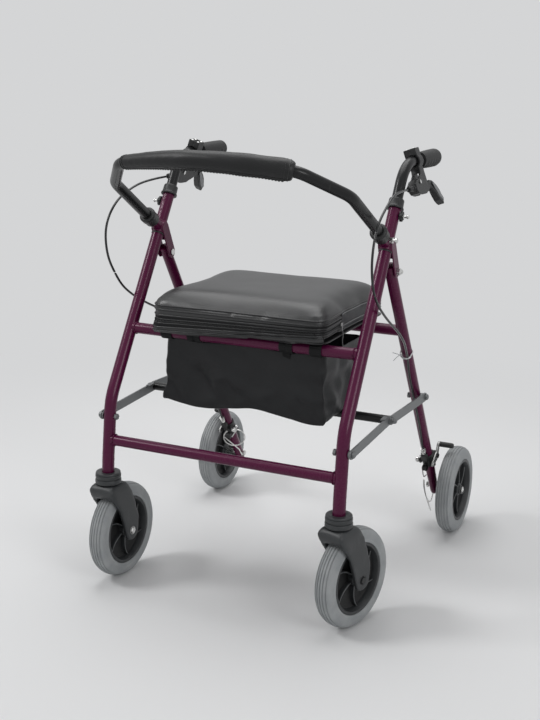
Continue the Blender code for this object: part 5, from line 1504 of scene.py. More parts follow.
@dataclass
class RearFrame:
    """Rear legs with flattened feet, their rail and the fold links."""

    leg_radius: float = 0.011
    rail_radius: float = 0.011
    crossbar_radius: float = 0.0085

    def build(self) -> None:
        """Build the rear legs, rail, crossbar and links."""
        for side in Side:
            self._leg(side)
            dress(f"front_link_{side.tag}", LINK_COAT)
            dress(f"rear_link_{side.tag}", LINK_COAT)
            dress(f"rear_axle_{side.tag}", ZINC)
        self._bars()

    def _leg(self, side: Side) -> None:
        """Draw one leg down to its flattened foot."""
        length = (LAYOUT.axle - LAYOUT.hinge).length
        stations = [(-0.013, 1.0, 1.0), (length - 0.100, 1.0, 1.0), (length - 0.075, 1.0, 1.0),
                    (length - 0.045, 0.90, 1.08), (length - 0.012, 0.80, 1.14),
                    (length + 0.006, 0.80, 1.12), (length + 0.014, 0.79, 1.04),
                    (length + 0.019, 0.75, 0.86), (length + 0.021, 0.68, 0.64)]
        rings = []
        for (a, wa, da), (b, wb, db) in zip(stations, stations[1:]):
            steps = max(2, math.ceil((b - a) / 0.02))
            for index in range(steps):
                t = index / steps
                soft = t * t * (3 - 2 * t)
                centre = LAYOUT.rear_at(a + (b - a) * t)
                rings.append(circle(centre, LAYOUT.down, X_AXIS, self.leg_radius, 32,
                                    (wa + (wb - wa) * soft, da + (db - da) * soft)))
        last = stations[-1]
        rings.append(circle(LAYOUT.rear_at(last[0]), LAYOUT.down, X_AXIS, self.leg_radius, 32,
                            last[1:]))
        node = f"rear_leg_{side.tag}"
        add_piece(f"{node}_tube", mirrored(loft(rings), side), BURGUNDY, "rear_frame",
                  (node,), 50.0)

    def _bars(self) -> None:
        """Run the rear rail and the fold crossbar."""
        rail = cross_bar(LAYOUT.rear_at(LAYOUT.rear_rail_along),
                         LAYOUT.half - self.leg_radius * 0.6, self.rail_radius)
        add_piece("rear_rail_tube", rail, BURGUNDY, "rear_frame",
                  ("rear_rail",))
        low, high = (Vector(corner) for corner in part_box("fold_crossbar"))
        bar = cross_bar((low + high) / 2, high.x, self.crossbar_radius, 28)
        add_piece("fold_crossbar_tube", bar, BLACK_TUBE, "front_links",
                  ("fold_crossbar",))


@dataclass
class Wheel:
    """One wheel: grooved tyre, stepped rim, web, swept ribs and core."""

    kind: str
    tag: str
    body: str
    centre: Vector
    yaw: float
    hub_half: float
    radius: float = 0.0950
    rim_radius: float = 0.068
    bed_depth: float = 0.0088
    width: float = 0.0345
    ribs: int = 6
    rib_phase: float = 0.3
    rib_sweep: float = math.radians(26.0)

    @property
    def bed(self) -> float:
        """Return the radius of the rim's inner face."""
        return self.rim_radius - self.bed_depth

    @property
    def headings(self) -> list[float]:
        """Return the heading of each rib."""
        return [2 * math.pi * (index + self.rib_phase) / self.ribs
                for index in range(self.ribs)]

    def build(self) -> None:
        """Build the tyre and the hub."""
        tyre_node, hub_node = (f"{self.kind}_{part}_{self.tag}" for part in ("tyre", "hub"))
        add_piece(f"{tyre_node}_turned", self._placed(self._tyre()), TYRE, self.body,
                  (tyre_node,), 32.0)
        add_piece(f"{hub_node}_moulded", self._placed(self._hub()), HUB_PLASTIC, self.body,
                  (hub_node,), 32.0)
        # the web's dark moulding is painted shade of the recess between the ribs
        add_piece(f"{hub_node}_web", self._placed(self._web()), WEB_SHADE_PLASTIC, self.body)
        # the pale strips on the rib edges are a painted highlight
        add_piece(f"{hub_node}_edges", self._placed(self._edges()), RIB_HIGHLIGHT_PLASTIC, self.body)

    def _placed(self, shape: Shape) -> Shape:
        """Return a shape moved from the origin to the wheel's place."""
        shape.transform(Matrix.Translation(self.centre) @ Matrix.Rotation(self.yaw, 4, "Z"))
        return shape

    def _tyre(self) -> Shape:
        """Turn the tyre with its ribs and shoulder grooves."""
        half = self.width / 2
        right = [(half * 0.90, 0.0681), (half * 0.985, 0.0686), (half, 0.0700), (half, 0.0730),
                 (half * 0.985, 0.0736), (half, 0.0742), (half, 0.0820), (half * 0.985, 0.0850),
                 (half * 0.93, 0.0880), (half * 0.84, 0.0904)]

        def tread(x: float) -> float:
            """Return the radius of the crowned tread, so far from its middle."""
            return self.radius - 0.0034 * (x / 0.0130) ** 2.4

        for groove in (0.0114, 0.0058):
            right += [(groove + 0.0013, tread(groove + 0.0013)),
                      (groove + 0.0008, tread(groove) - 0.0016),
                      (groove - 0.0008, tread(groove) - 0.0016),
                      (groove - 0.0013, tread(groove - 0.0013))]
        right += [(0.0012, self.radius), (0.0007, self.radius - 0.0015)]
        return lathe(both_ways(right), Vector(), X_AXIS, 120, True)

    def _rib_place(self, turn: float, radius: float) -> Vector:
        """Return a point on a rib's swept centre line."""
        heading = turn + self.rib_sweep * (radius / self.rim_radius) ** 2
        return Vector((0.0, radius * math.cos(heading), radius * math.sin(heading)))

    def _rib(self, turn: float, wides: tuple[float, float], thicks: tuple[float, float],
             start: float, end: float) -> Shape:
        """Return one swept rib.

        Args:
            turn: Its heading.
            wides: Half widths at the core and at the rim.
            thicks: Half thicknesses at the core and at the rim.
            start: Its inner radius.
            end: Its outer radius.

        Returns:
            The softened bar.
        """
        rows = []
        steps = 14
        for index in range(steps + 1):
            t = index / steps
            radius = start + (end - start) * t
            wide = wides[0] + (wides[1] - wides[0]) * t ** 1.4
            thick = thicks[0] + (thicks[1] - thicks[0]) * t
            centre = self._rib_place(turn, radius)
            ahead = self._rib_place(turn, radius + 0.001) - centre
            across = ahead.normalized().cross(X_AXIS)
            soft = min(wide, thick) * 0.35
            corners = ((wide - soft, -thick), (wide, soft - thick), (wide, thick - soft),
                       (wide - soft, thick), (soft - wide, thick), (-wide, thick - soft),
                       (-wide, soft - thick), (soft - wide, -thick))
            rows.append([centre + across * out + X_AXIS * side for out, side in corners])
        return loft(rows)

    def _hub(self) -> Shape:
        """Return rim, ribs and core."""
        lip = self.width / 2 - 0.0006
        rim_out = self.rim_radius - 0.0002
        bed = self.bed
        side = [(lip * 0.97, rim_out), (lip, rim_out - 0.0004), (lip, rim_out - 0.0046),
                (lip * 0.98, rim_out - 0.0054), (lip * 0.88, rim_out - 0.0062),
                (lip * 0.72, rim_out - 0.0071), (lip * 0.56, rim_out - 0.0080),
                (lip * 0.42, bed), (lip * 0.30, bed - 0.0004)]
        rim = lathe(both_ways(side), Vector(), X_AXIS, 120, True)
        half = self.hub_half
        core = lathe([(-half, 0.0), (-half, 0.0092), (-half * 0.96, 0.0100),
                      (-half * 0.80, 0.0106), (-half * 0.74, 0.0132), (-half * 0.66, 0.0142),
                      (half * 0.66, 0.0142), (half * 0.74, 0.0132), (half * 0.80, 0.0106),
                      (half * 0.96, 0.0100), (half, 0.0092), (half, 0.0)], Vector(), X_AXIS, 48)
        shapes = [rim, core]
        shapes += [self._rib(turn, (0.0015, 0.0012), (0.0100, 0.0082), 0.0105, bed + 0.0016)
                   for turn in self.headings]
        return joined(*shapes)

    def _edges(self) -> Shape:
        """Return pale strips along the ribs' edges, a painted highlight."""
        shapes = []
        for face in (-1.0, 1.0):
            for turn in self.headings:
                line = []
                for step in range(15):
                    share = step / 14
                    place = self._rib_place(turn, 0.0155 + (self.bed - 0.0150) * share)
                    line.append(place + X_AXIS * face * (0.0100 - 0.0018 * share))
                shapes.append(sweep(line, 0.0008, 8, X_AXIS, 0.08))
        return joined(*shapes)

    def _web(self) -> Shape:
        """Return the thin web between the ribs, dished towards the core; its darker moulding is
        painted shade of the recess.
        """
        profile = [(0.0016, 0.010), (0.0022, 0.018), (0.0016, 0.030), (0.0014, 0.050),
                   (0.0024, self.bed - 0.003), (0.0040, self.bed + 0.0006)]
        return lathe(both_ways(profile), Vector(), X_AXIS, 96, True)


@dataclass
class Caster:
    """One front caster: cup, fork, axle bolt and wheel."""

    side: Side
    yaws: tuple[float, float] = (-2.3, -15.0)  # degrees, left and right
    trail: float = 0.042
    wheel_z: float = 0.095
    hub_half: float = 0.0190

    def build(self) -> None:
        """Build the caster."""
        tag = self.side.tag
        bright = self.side is Side.LEFT
        yaw = math.radians(self.yaws[0 if bright else 1])
        place = self.side.place(LAYOUT.stem) * Vector((1.0, 1.0, 0.0))
        centre = (place + Z_AXIS * self.wheel_z
                  + Matrix.Rotation(yaw, 3, "Z") @ (Y_AXIS * self.trail))
        self._cup(place)
        self._fork(place)
        dress(f"caster_axle_{tag}", ZINC if bright else PLASTIC)
        foot = lathe([(0.0, 0.0068), (0.0, 0.0082), (0.0007, 0.0086), (0.0013, 0.0083),
                      (0.0013, 0.0072), (0.0, 0.0068)], Vector((0.0262, 0.0, 0.0)), X_AXIS, 32,
                     True)
        whole = joined(foot, mirrored(foot.copy(), Side.LEFT))
        whole.transform(Matrix.Translation(centre) @ Matrix.Rotation(yaw, 4, "Z"))
        add_piece(f"caster_rings_{tag}", whole, DULL_STEEL if bright else PLASTIC,
                  f"caster_{tag}")
        Wheel("caster", tag, f"caster_wheel_{tag}", centre, yaw, self.hub_half).build()

    def _fork(self, place: Vector) -> None:
        """Mould the fork, its shoulders flowing into a bell under the cup."""
        node = f"caster_fork_{self.side.tag}"
        bell = lathe([(0.1945, 0.0), (0.1945, 0.0285), (0.1975, 0.0282), (0.2005, 0.0262),
                      (0.2030, 0.0248), (0.2056, 0.0244), (0.2056, 0.0)], place, Z_AXIS, 64)
        shape = melted(joined(copy_of(node), bell), 0.0014, 14)
        for floor, rounds in ((0.135, 10), (0.155, 14), (0.170, 22), (0.182, 26)):
            eased(shape, lambda co: co.z > floor and (co.xy - place.xy).length > 0.0100,
                  rounds)
        add_piece(f"{node}_moulded", shape, HUB_PLASTIC, f"caster_{self.side.tag}",
                  (node,), 50.0)

    def _cup(self, place: Vector) -> None:
        """Turn the ringed cup under the leg."""
        r = 0.0256
        low, top = 0.2063, 0.2297
        profile = [(low, 0.0063), (low, r * 0.95), (low + 0.0006, r * 0.985),
                   (low + 0.0020, r), (low + 0.0078, r), (low + 0.0090, r * 0.975),
                   (low + 0.0096, r * 0.915), (low + 0.0116, r * 0.910),
                   (low + 0.0121, r * 0.965), (low + 0.0130, r * 0.985),
                   (low + 0.0168, r * 0.985), (low + 0.0180, r * 0.965),
                   (low + 0.0184, r * 0.92), (low + 0.0192, r * 0.915),
                   (low + 0.0197, r * 0.96), (low + 0.0214, r * 0.955),
                   (low + 0.0226, r * 0.92), (top - 0.0006, r * 0.80),
                   (top - 0.0004, r * 0.60), (top - 0.0012, r * 0.52), (top - 0.0012, 0.0123),
                   (0.2133, 0.0123), (0.2133, 0.0063)]
        node = f"caster_collar_{self.side.tag}"
        add_piece(f"{node}_turned", lathe(profile, place, Z_AXIS, 64, True), HUB_PLASTIC,
                  "front_frame", (node,), 35.0)


RIGHT_WIRE = (
    (0.2345, 0.2270, 0.1560), (0.2325, 0.2480, 0.1260), (0.2325, 0.2721, 0.1213),
    (0.2325, 0.3065, 0.1040), (0.2325, 0.3270, 0.0753), (0.2325, 0.3089, 0.0470),
    (0.2325, 0.2780, 0.0638), (0.2325, 0.2531, 0.0983), (0.2315, 0.2540, 0.1150),
    (0.2305, 0.2640, 0.0900), (0.2305, 0.2880, 0.0560), (0.2305, 0.3180, 0.0205))


@dataclass
class Brake:
    """The brake at one rear wheel: bracket, shoe, cable and their small trim."""

    side: Side
    split: float = 0.610  # the height at which the housing's two lengths meet
    lever_exit: Vector = Vector((0.265, -0.040, 0.785))
    slack_front: Vector = Vector((0.265, -0.200, 0.640))
    slack_rear: Vector = Vector((0.265, -0.150, 0.575))
    wire_radius: float = 0.0014
    tie_along: float = 0.2130
    tie_radius: float = 0.0121

    def build(self) -> None:
        """Build the brake's pieces."""
        tag = self.side.tag
        bracket = cast(f"brake_bracket_{tag}", PLASTIC, "rear_frame", 0.0009, 2)
        faced(bracket, ZINC, lambda place: abs(place.x) < LAYOUT.half - 0.0150)
        shoe = cast(f"brake_shoe_{tag}", DULL_STEEL, f"brake_shoe_{tag}", 0.0008, 2)
        faced(shoe, PLASTIC, lambda place: abs(place.x) > LAYOUT.half + 0.0195)
        self._cable()
        self._fastenings()
        self._wire()
        self._tie()

    def _cable(self) -> None:
        """Run the housing from lever to brake, in two lengths cut at the split height."""
        node = f"brake_cable_{self.side.tag}"
        lengths = (("upper", True, f"handle_{self.side.tag}", "front_frame", self.lever_exit,
                    self.slack_front),
                   ("lower", False, "front_frame", "rear_frame", self.slack_rear,
                    LAYOUT.rear_at(0.190)))
        for name, above, body_a, body_b, start, end in lengths:
            shape = copy_of(node)
            bmesh.ops.bisect_plane(
                shape, geom=shape.verts[:] + shape.edges[:] + shape.faces[:],
                plane_co=(0.0, 0.0, self.split), plane_no=(0.0, 0.0, 1.0),
                clear_inner=above, clear_outer=not above)
            bmesh.ops.contextual_create(shape, geom=[e for e in shape.edges if e.is_boundary])
            bmesh.ops.recalc_face_normals(shape, faces=shape.faces)
            piece = add_piece(f"{node}_{name}", shape, HOUSING, None, (node,),
                              60.0, 1)
            tuple(self.side.place(start))
            tuple(self.side.place(end))
            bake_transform(piece)

    def _fastenings(self) -> None:
        """Fit the cable's ferrule, its adjuster and the wire clamp."""
        tag = self.side.tag
        down = LAYOUT.down
        ferrule = lathe([(0.0, 0.0027), (0.0, 0.0038), (0.0010, 0.0042), (0.0090, 0.0042),
                         (0.0096, 0.0050), (0.0130, 0.0050), (0.0134, 0.0041),
                         (0.0160, 0.0041), (0.0160, 0.0027)],
                        LAYOUT.rear_at(0.4900, -0.0165), down, 24, True)
        ridges = [lathe([(0.0, 0.0046), (0.0, 0.0056), (0.0006, 0.0058), (0.0012, 0.0056),
                         (0.0012, 0.0046)], LAYOUT.rear_at(0.4915 + 0.0022 * i, -0.0165), down,
                        20, True) for i in range(3)]
        cap = lathe([(0.0, 0.0), (0.0, 0.0052), (0.0016, 0.0058), (0.0040, 0.0058),
                     (0.0054, 0.0046), (0.0060, 0.0)],
                    LAYOUT.rear_at(0.5330, -0.0145, -0.0165), -X_AXIS, 24)
        ball = lathe([(-0.0042, 0.0), (-0.0036, 0.0022), (-0.0020, 0.0037), (0.0, 0.0042),
                      (0.0020, 0.0037), (0.0036, 0.0022), (0.0042, 0.0)],
                     LAYOUT.rear_at(0.5400, 0.0020, -0.0160), X_AXIS, 24)
        bright = joined(ferrule, *ridges, cap, ball)
        add_piece(f"brake_fastenings_{tag}", mirrored(bright, self.side), ZINC, "rear_frame")
        clamp = lathe([(0.0, 0.0), (0.0, 0.0064), (0.0008, 0.0072), (0.0036, 0.0074),
                       (0.0042, 0.0066), (0.0058, 0.0066), (0.0064, 0.0074), (0.0092, 0.0072),
                       (0.0100, 0.0062), (0.0100, 0.0)],
                      LAYOUT.rear_at(0.5520, -0.0190, -0.0080), X_AXIS, 32)
        stem = sweep([LAYOUT.rear_at(0.5460, -0.0130, -0.0030),
                      LAYOUT.rear_at(0.5520, -0.0180, -0.0030)], 0.0032, 16, X_AXIS)
        add_piece(f"brake_clamp_{tag}", mirrored(joined(clamp, stem), self.side), PLASTIC,
                  "rear_frame")

    def _wire(self) -> None:
        """Coil the bare inner wire that comes out of the clamp."""
        if self.side is Side.RIGHT:
            route = smooth_route([Vector(mark) for mark in RIGHT_WIRE], 10)
        else:
            middle = Vector((-0.2300, 0.2313, 0.1524))
            over, up = Vector((0.90, 0.436, 0.0)), Vector((-0.08, 0.20, 0.976))
            route = [Vector((-0.2345, 0.2270, 0.1560)) - up * 0.004]
            for step in range(10, 72):
                turn = 2 * math.pi * step / 48
                route.append(middle + over * (0.0250 * math.cos(turn))
                             + up * (0.0195 * math.sin(turn) - 0.00004 * step))
            route += [middle + over * 0.012 - up * 0.030, middle + over * 0.020 - up * 0.044]
        add_piece(f"brake_wire_{self.side.tag}", sweep(route, self.wire_radius, 8, Z_AXIS), WIRE,
                  "rear_frame")

    def _tie(self) -> None:
        """Knot the pale tie that holds the cable to the leg."""
        loop = []
        for step in range(40):
            turn = 2 * math.pi * step / 40
            behind = self.tie_radius * math.cos(turn)
            behind = behind * (1.62 if behind < 0.0 else 1.0)
            across = self.tie_radius * math.sin(turn) + (0.0022 if behind < -0.010 else 0.0)
            along = self.tie_along + 0.0012 * math.sin(turn)
            loop.append(LAYOUT.rear_at(along, behind, across))
        knot = LAYOUT.rear_at(self.tie_along, -0.0120, -0.0105)
        shapes = [closed_cord(loop, 0.0010, 8),
                  closed_cord([p + LAYOUT.down * 0.0019 for p in loop], 0.0009, 8)]
        for way in (Vector((-0.014, -0.004, 0.004)), Vector((-0.011, -0.006, -0.012)),
                    Vector((0.010, -0.008, -0.006))):
            tail = [knot, knot + way * 0.5 + Vector((0.0, -0.002, 0.001)), knot + way]
            shapes.append(sweep(smooth_route(tail, 6), 0.0008, 8, Z_AXIS))
        add_piece(f"cable_tie_{self.side.tag}", mirrored(joined(*shapes), self.side), TIE,
                  "rear_frame")


SEAT_WELTS = (  # (height at the left, how much higher at the right, radius)
    (0.5498, 0.0, 0.0017), (0.5392, 0.0036, 0.0021), (0.5316, 0.0070, 0.0012),
    (0.5238, 0.0096, 0.0012), (0.5156, 0.0134, 0.0021), (0.5078, 0.0164, 0.0018))


@dataclass
class Seat:
    """The zipped cushion, its board, and the straps round the front rail."""

    half: float = 0.1880
    shift: float = -0.0050
    front: float = -0.2140
    rear: float = 0.1135
    corner: float = 0.020
    seam: float = 0.558
    crown: float = 0.5855
    base: float = 0.5190
    flap_low: float = 0.5010
    flap_slope: float = 0.042
    pull_in: float = 0.0028  # how far the sides pull in between the corners
    zip_end: float = 0.10  # how far behind the front the tapes end
    zip_stop: float = 0.098  # and how far behind it the slider hangs
    strap_wall: float = 0.0013

    def outline(self, inset: float = 0.0, count: int = 160) -> Marks:
        """Return the plan outline, counter-clockwise from the middle of the rear.

        Args:
            inset: How far it lies inside the full outline.
            count: How many points it has.

        Returns:
            Pairs of a point at z 0 and its outward direction.
        """
        hx = self.half - inset
        fy, ry = self.front + inset, self.rear - inset
        middle = (fy + ry) / 2
        half_y = (ry - fy) / 2
        marks = rounded_corners(hx, half_y, middle, self.corner + inset * 0.75, 8, 1)
        lengths = [0.0]
        for (a, _), (b, _) in zip(marks, marks[1:]):
            lengths.append(lengths[-1] + (b - a).length)
        result = []
        at = 0
        for index in range(count):
            want = lengths[-1] * index / count
            while lengths[at + 1] < want:
                at += 1
            span = max(lengths[at + 1] - lengths[at], 1e-9)
            t = (want - lengths[at]) / span
            (a, na), (b, nb) = marks[at], marks[at + 1]
            point = a.lerp(b, t)
            way = na.lerp(nb, t).normalized()
            pull = self.pull_in * (
                math.sin(math.pi * (point.x / hx + 1) / 2) ** 2 * (abs(way.y) > 0.9)
                + math.sin(math.pi * ((point.y - middle) / half_y + 1) / 2) ** 2
                * (abs(way.x) > 0.9))
            result.append((point - way * pull + X_AXIS * self.shift, way))
        return result

    def ring(self, inset: float, z: float) -> Points:
        """Return an outline ring at a height."""
        return [Vector((p.x, p.y, z)) for p, _ in self.outline(inset)]

    def build(self) -> None:
        """Build the cushion, its seams and tape, the board and the straps."""
        skin = self._cushion()
        self._seams(skin)
        self._board()

    def _cushion(self) -> Skin:
        """Swell the cushion and return its surface."""
        rings = [self.ring(0.012, self.base), self.ring(0.0045, self.base + 0.002),
                 self.ring(0.0030, self.base + 0.012), self.ring(0.0030, self.seam - 0.010),
                 self.ring(0.0040, self.seam)]
        rise = self.crown - self.seam - 0.004
        for inset in (0.0052, 0.0070, 0.0095, 0.0130, 0.018, 0.026, 0.040, 0.062, 0.090, 0.120,
                      0.145):
            share = 1.0 - math.exp(-(inset - 0.004) / 0.0098)
            rings.append(self.ring(inset, self.seam + rise * share))
        body = loft(rings)
        flap = []
        marks = [(p, w) for p, w in self.outline(0.0030, 220)
                 if w.y < -0.12 and p.y < self.front + 0.02]
        for share, bulge in ((0.0, 0.0), (0.28, 0.0014), (0.55, 0.0020), (0.82, 0.0014),
                             (1.0, -0.0006)):
            outer, inner = [], []
            for place, way in marks:
                top = self.base + 0.006
                z = top + (self.flap_low + self.flap_slope * place.x + 0.0020 - top) * share
                outer.append(Vector((place.x, place.y, z)) + way * bulge)
                inner.append(Vector((place.x, place.y, z)) - way * 0.0052)
            flap.append(outer + inner[::-1])
        shape = swollen(joined(body, loft(flap)), 0.0042, 4.0, 0.0062)
        for floor, rounds in ((-0.004, 8), (0.003, 14), (0.009, 34)):
            eased(shape, lambda co: co.z > self.seam + floor, rounds)
        skin = Skin(shape)
        piece = add_piece("seat_cushion_cover", shape, SEAT_VINYL, "seat",
                          ("seat_cushion",), 60.0, 1)
        return skin

    def _band(self, skin: Skin, z: float, lift: float,
              keep: Callable[[Vector], bool] | None = None, count: int = 420,
              rise: float = 0.0) -> Points:
        """Return points on the cushion's side at a height.

        Args:
            skin: The cushion's surface.
            z: The height at the left end.
            lift: How far the points stand off the surface.
            keep: Tells which points of the outline to use, or None for all.
            count: How many points go round.
            rise: How much higher the right end is.

        Returns:
            The points in order.
        """
        points = []
        for place, way in self.outline(0.0, count):
            if keep is None or keep(place):
                share = max(0.0, min((place.x + 0.165) / 0.30, 1.1))
                outer = Vector((place.x, place.y, z + rise * share)) + way * 0.04
                points.append(skin.toward(outer, outer - way * 0.1, lift))
        return points

    def _seams(self, skin: Skin) -> None:
        """Lay the piping, the zip tapes with their teeth, and the side panels."""
        top = self._band(skin, self.seam - 0.0005, 0.0003, None, 260)
        add_piece("seat_piping", closed_cord(top, 0.0019, 12), PIPING, "seat")

        def front_run(place: Vector) -> bool:
            """Tell whether the zip passes a point of the outline."""
            return place.y < self.front + self.zip_end

        for name, z, wide, rise in (("low", 0.5205, 0.0100, 0.0118),
                                    ("high", 0.5350, 0.0120, 0.0060)):
            lines = [self._band(skin, z + wide * (t - 0.5), 0.0009 + 0.0006 * (t == 0.5),
                                front_run, 420, rise) for t in (0.0, 0.25, 0.5, 0.75, 1.0)]
            # the tapes' extra darkness is painted shade of the zip's valley
            add_piece(f"seat_zip_tape_{name}", tape(lines, 0.0006), ZIP_TAPE_AND_SHADE, "seat")
        welts = [sweep(self._band(skin, z, 0.0004, front_run, 300, rise), radius, 10, Z_AXIS)
                 for z, rise, radius in SEAT_WELTS]
        add_piece("seat_zip_welts", joined(*welts), PIPING, "seat")
        teeth = []
        line = self._band(skin, 0.5277, 0.0012, front_run, 900, 0.0083)
        for index, (place, after) in enumerate(zip(line[::2], line[1::2])):
            way = (after - place).normalized()
            shift = Vector((0.0, 0.0, 0.0010 if index % 2 else -0.0010))
            teeth.append(loft([circle(place + shift + way * end, way, Z_AXIS, 0.0010, 6,
                                      (1.3, 0.8)) for end in (-0.0005, 0.0005)]))
        add_piece("seat_zip_teeth", joined(*teeth), PLASTIC, "seat")
        for z, rise, keep in ((0.5538, 0.0, None), (0.5022, 0.0150, front_run)):
            run = self._band(skin, z, 0.0001, keep, 300, rise)
            add_piece(f"seat_stitching_{round(z * 10000)}",
                      joined(*stitched(run, 0.15, 0.00045)), PIPING, "seat")
        self._pull(skin)
        for side in Side:
            self._side_panel(skin, side)

    def _pull(self, skin: Skin) -> None:
        """Hang the zip's slider and its pale cord pull at the right end of the zip."""
        outer = Vector((0.24, self.front + self.zip_stop, 0.5365))
        place = skin.toward(outer, outer - X_AXIS * 0.1, 0.0022)
        body = softened(box_shape(place - Vector((0.0018, 0.0050, 0.0032)),
                                  place + Vector((0.0018, 0.0050, 0.0032))), 0.0010)
        tab = softened(box_shape(place - Vector((-0.0012, 0.0016, 0.0130)),
                                 place + Vector((0.0024, 0.0016, 0.0010))), 0.0004)
        add_piece("seat_zip_slider", joined(body, tab), DULL_STEEL, "seat")
        drop = [Vector((0.0026, 0.0, -0.011)), Vector((0.0036, 0.0006, -0.020)),
                Vector((0.0030, -0.0004, -0.030)), Vector((0.0036, 0.0004, -0.041))]
        thread = sweep(smooth_route([place + d for d in drop], 6), 0.0009, 8)
        bead = lathe([(0.0, 0.0), (0.0008, 0.0016), (0.0030, 0.0018), (0.0050, 0.0014),
                      (0.0056, 0.0)], place + drop[-1], -Z_AXIS, 16)
        add_piece("seat_zip_pull", joined(thread, bead), PALE_PIPING, "seat")

    def _side_panel(self, skin: Skin, side: Side) -> None:
        """Lay the ribbed cloth panel on the rear part of one side."""

        def run(place: Vector) -> bool:
            """Tell whether the panel covers a point of the outline."""
            return (place.x * side.value > self.half - 0.045
                    and self.front + self.zip_stop < place.y < self.rear - 0.012)

        heights = [0.5225 + 0.0320 * i / 10 for i in range(11)]
        lines = [self._band(skin, z, 0.0010 + 0.0006 * (i % 2), run) for i, z in
                 enumerate(heights)]
        add_piece(f"seat_side_panel_{side.tag}", tape(lines, 0.0007), RIBBED_GREY, "seat")
        for z in (heights[0], heights[3], heights[-1]):
            edge = self._band(skin, z, 0.0017, run)
            add_piece(f"seat_side_piping_{side.tag}_{round(z * 10000)}",
                      sweep(edge, 0.0011, 8, Z_AXIS), PALE_PIPING, "seat")

    def _board(self) -> None:
        """Make the board with its rounded edge, and the straps round the rail."""
        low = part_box("seat_base")[0][2]
        ring = [self.ring(0.0045, 0.5153), self.ring(0.0040, 0.5160), self.ring(0.0040, 0.5174),
                self.ring(0.0045, 0.5180)]
        add_piece("seat_board", loft(ring), PLASTIC, "seat", ("seat_base",))
        rail = LAYOUT.leg_at(LAYOUT.front_rail_along)
        radius = rail.z - low - 0.0010
        for side in Side:
            for name, x, wide in (("strap", 0.158, 0.024), ("clip", 0.105, 0.013)):
                sections = []
                for turn in range(-62, 243, 5):
                    heading = math.radians(turn - 180)
                    way = Vector((0.0, math.cos(heading), math.sin(heading)))
                    pucker = 0.0004 * math.sin(turn * 0.31 + x * 40)
                    sections.append([Vector((side.value * x + s * wide / 2, rail.y, rail.z))
                                     + way * (radius + (0.0004 if abs(s) < 1 else 0.0) + pucker)
                                     for s in (-1.0, -0.9, 0.0, 0.9, 1.0)])
                add_piece(f"seat_{name}_{side.tag}", laid_strip(sections, self.strap_wall),
                          STRAP_WEB, "seat")


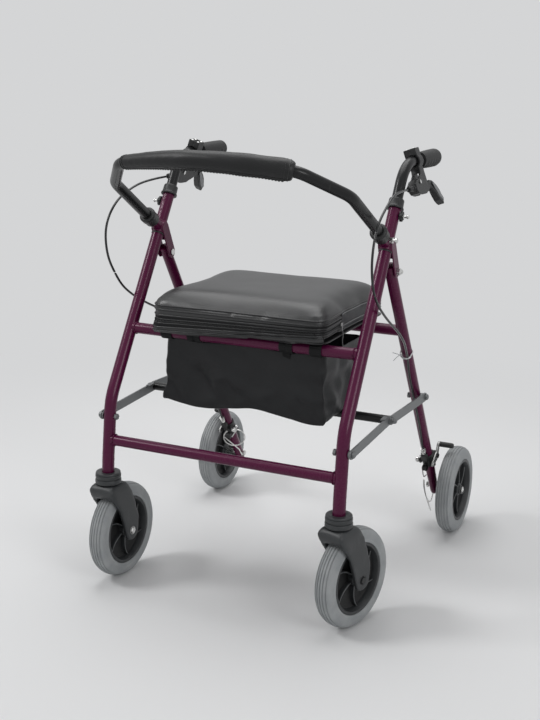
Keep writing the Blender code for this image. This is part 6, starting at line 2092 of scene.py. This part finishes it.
@dataclass
class Bag:
    """The cloth bag that hangs between the two seat rails."""

    half: float = 0.1725
    front: float = -0.1822
    rear: float = 0.0130
    floor_rear: float = -0.066
    top: float = 0.4895
    floor: float = 0.3605
    tug_depth: float = 0.0034
    fold_depth: float = 0.0095
    crease_depth: float = 0.0115
    wall: float = 0.0012
    loop_x: float = 0.092
    loop_radius: float = 0.0124
    loop_wall: float = 0.0011

    def build(self) -> None:
        """Sew the bag and its hanging loops."""
        piece = add_piece("under_seat_bag", self._shell(), NYLON, None, ("bag",),
                          60.0, 1)
        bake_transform(piece)
        self._loops()

    def _plan(self, share: float, inset: float) -> Marks:
        """Return a hoop's points and outward ways, from 0 at the rim to 1 at the floor."""
        rear = self.rear + (self.floor_rear - self.rear) * share ** 1.2 - inset
        flare = 0.0050 * share ** 3
        hx, fy = self.half + flare - inset, self.front + inset
        radius = 0.015 - 0.0125 * share ** 0.7
        marks = rounded_corners(hx, (rear - fy) / 2, (fy + rear) / 2, radius, 6, 0)
        result = []
        for (a, wa), (b, wb) in zip(marks, marks[1:]):
            length = (b - a).length
            count = 46 if length > 0.2 else 24 if length > 0.02 else 1
            for index in range(count):
                t = index / count
                result.append((a.lerp(b, t), wa.lerp(wb, t).normalized()))
        return result

    def _ring(self, share: float) -> Points:
        """Return one hoop of the bag with its folds."""
        points = []
        for place, way in self._plan(share, 0.0022):
            front = max(0.0, -way.y)
            floor = self.floor + 0.0070 * math.sin((place.x + 0.03) * 26.0) * front
            z = self.top + (floor - self.top) * share
            sag = 0.0022 * (1 - share) ** 2 * (1 - math.cos(place.x / self.loop_x * math.pi)) / 2
            slant = place.x * 0.9 + z * 0.8
            tug = math.sin(slant * 46.0) * self.tug_depth + noise.noise(
                Vector((slant * 30.0, place.y * 30.0, z * 9.0))) * self.fold_depth
            crease = -abs(noise.noise(Vector((place.x * 16.0, z * 24.0 + 3.1, place.y * 16.0))))
            belly = math.sin(math.pi * min(share * 1.05, 1.0)) * 0.0022
            loose = (0.15 + 0.85 * min(share * 1.6, 1.0)) * (1.0 - 0.72 * share ** 4)
            depth = (tug + crease * self.crease_depth) * loose + belly
            points.append(Vector((place.x - 0.0040 * share ** 3, place.y, z - sag))
                          + way * depth)
        return points

    def _shell(self) -> Shape:
        """Return the whole shell: walls, floor and an inner skin."""
        rings = [self._ring(i / 30) for i in range(31)]
        last = rings[-1]
        centre = sum(last, Vector()) / len(last)
        for scale, drop in ((0.992, 0.0012), (0.90, 0.0022), (0.74, 0.0026), (0.50, 0.0026),
                            (0.2, 0.0026)):
            rings.append([centre + (p - centre) * scale - Z_AXIS * (
                drop - 0.0016 * noise.noise(p * 30.0)) for p in last])
        mesh = loft(rings, False)
        bottom = [v for v in mesh.verts if v.is_boundary and v.co.z < self.top - 0.08]
        bmesh.ops.contextual_create(mesh, geom=bottom)
        bmesh.ops.recalc_face_normals(mesh, faces=mesh.faces)
        return thickened(mesh, self.wall)

    def _loops(self) -> None:
        """Sew the four loops that carry the bag on the two rails."""
        rails = (("front", LAYOUT.leg_at(LAYOUT.front_rail_along), self.front, 1.0),
                 ("rear", LAYOUT.rear_at(LAYOUT.rear_rail_along), self.rear, -1.0))
        for name, rail, wall, inward in rails:
            path = [Vector((0.0, wall + inward * 0.0030, self.top - 0.022)),
                    Vector((0.0, wall + inward * 0.0022, self.top - 0.006))]
            for turn in range(0, 341, 12):
                heading = math.radians(-90 + inward * 20 + inward * turn)
                path.append(Vector((0.0, rail.y + self.loop_radius * math.cos(heading),
                                    rail.z + self.loop_radius * math.sin(heading))))
            for side in Side:
                rows = [[Vector((side.value * self.loop_x + x, point.y, point.z))
                         for x in (-0.008, -0.004, 0.0, 0.004, 0.008)] for point in path]
                add_piece(f"bag_loop_{name}_{side.tag}", laid_strip(rows, self.loop_wall),
                          STRAP_WEB, f"{name}_frame")


def main() -> None:
    """Build the whole scene in order."""
    logging.basicConfig(level=logging.INFO, format="%(name)s: %(message)s")
    Studio().build()
    FrontFrame().build()
    RearFrame().build()
    Backrest().build()
    for side in Side:
        Handle(side).build()
        Caster(side).build()
        Brake(side).build()
        tag = side.tag
        place = Vector((side.value * LAYOUT.rear_wheel_x, LAYOUT.axle.y, LAYOUT.axle.z))
        Wheel("rear", tag, f"rear_wheel_{tag}", place, 0.0, 0.0150).build()
    Seat().build()
    Bag().build()


if __name__ == "__main__":
    main()
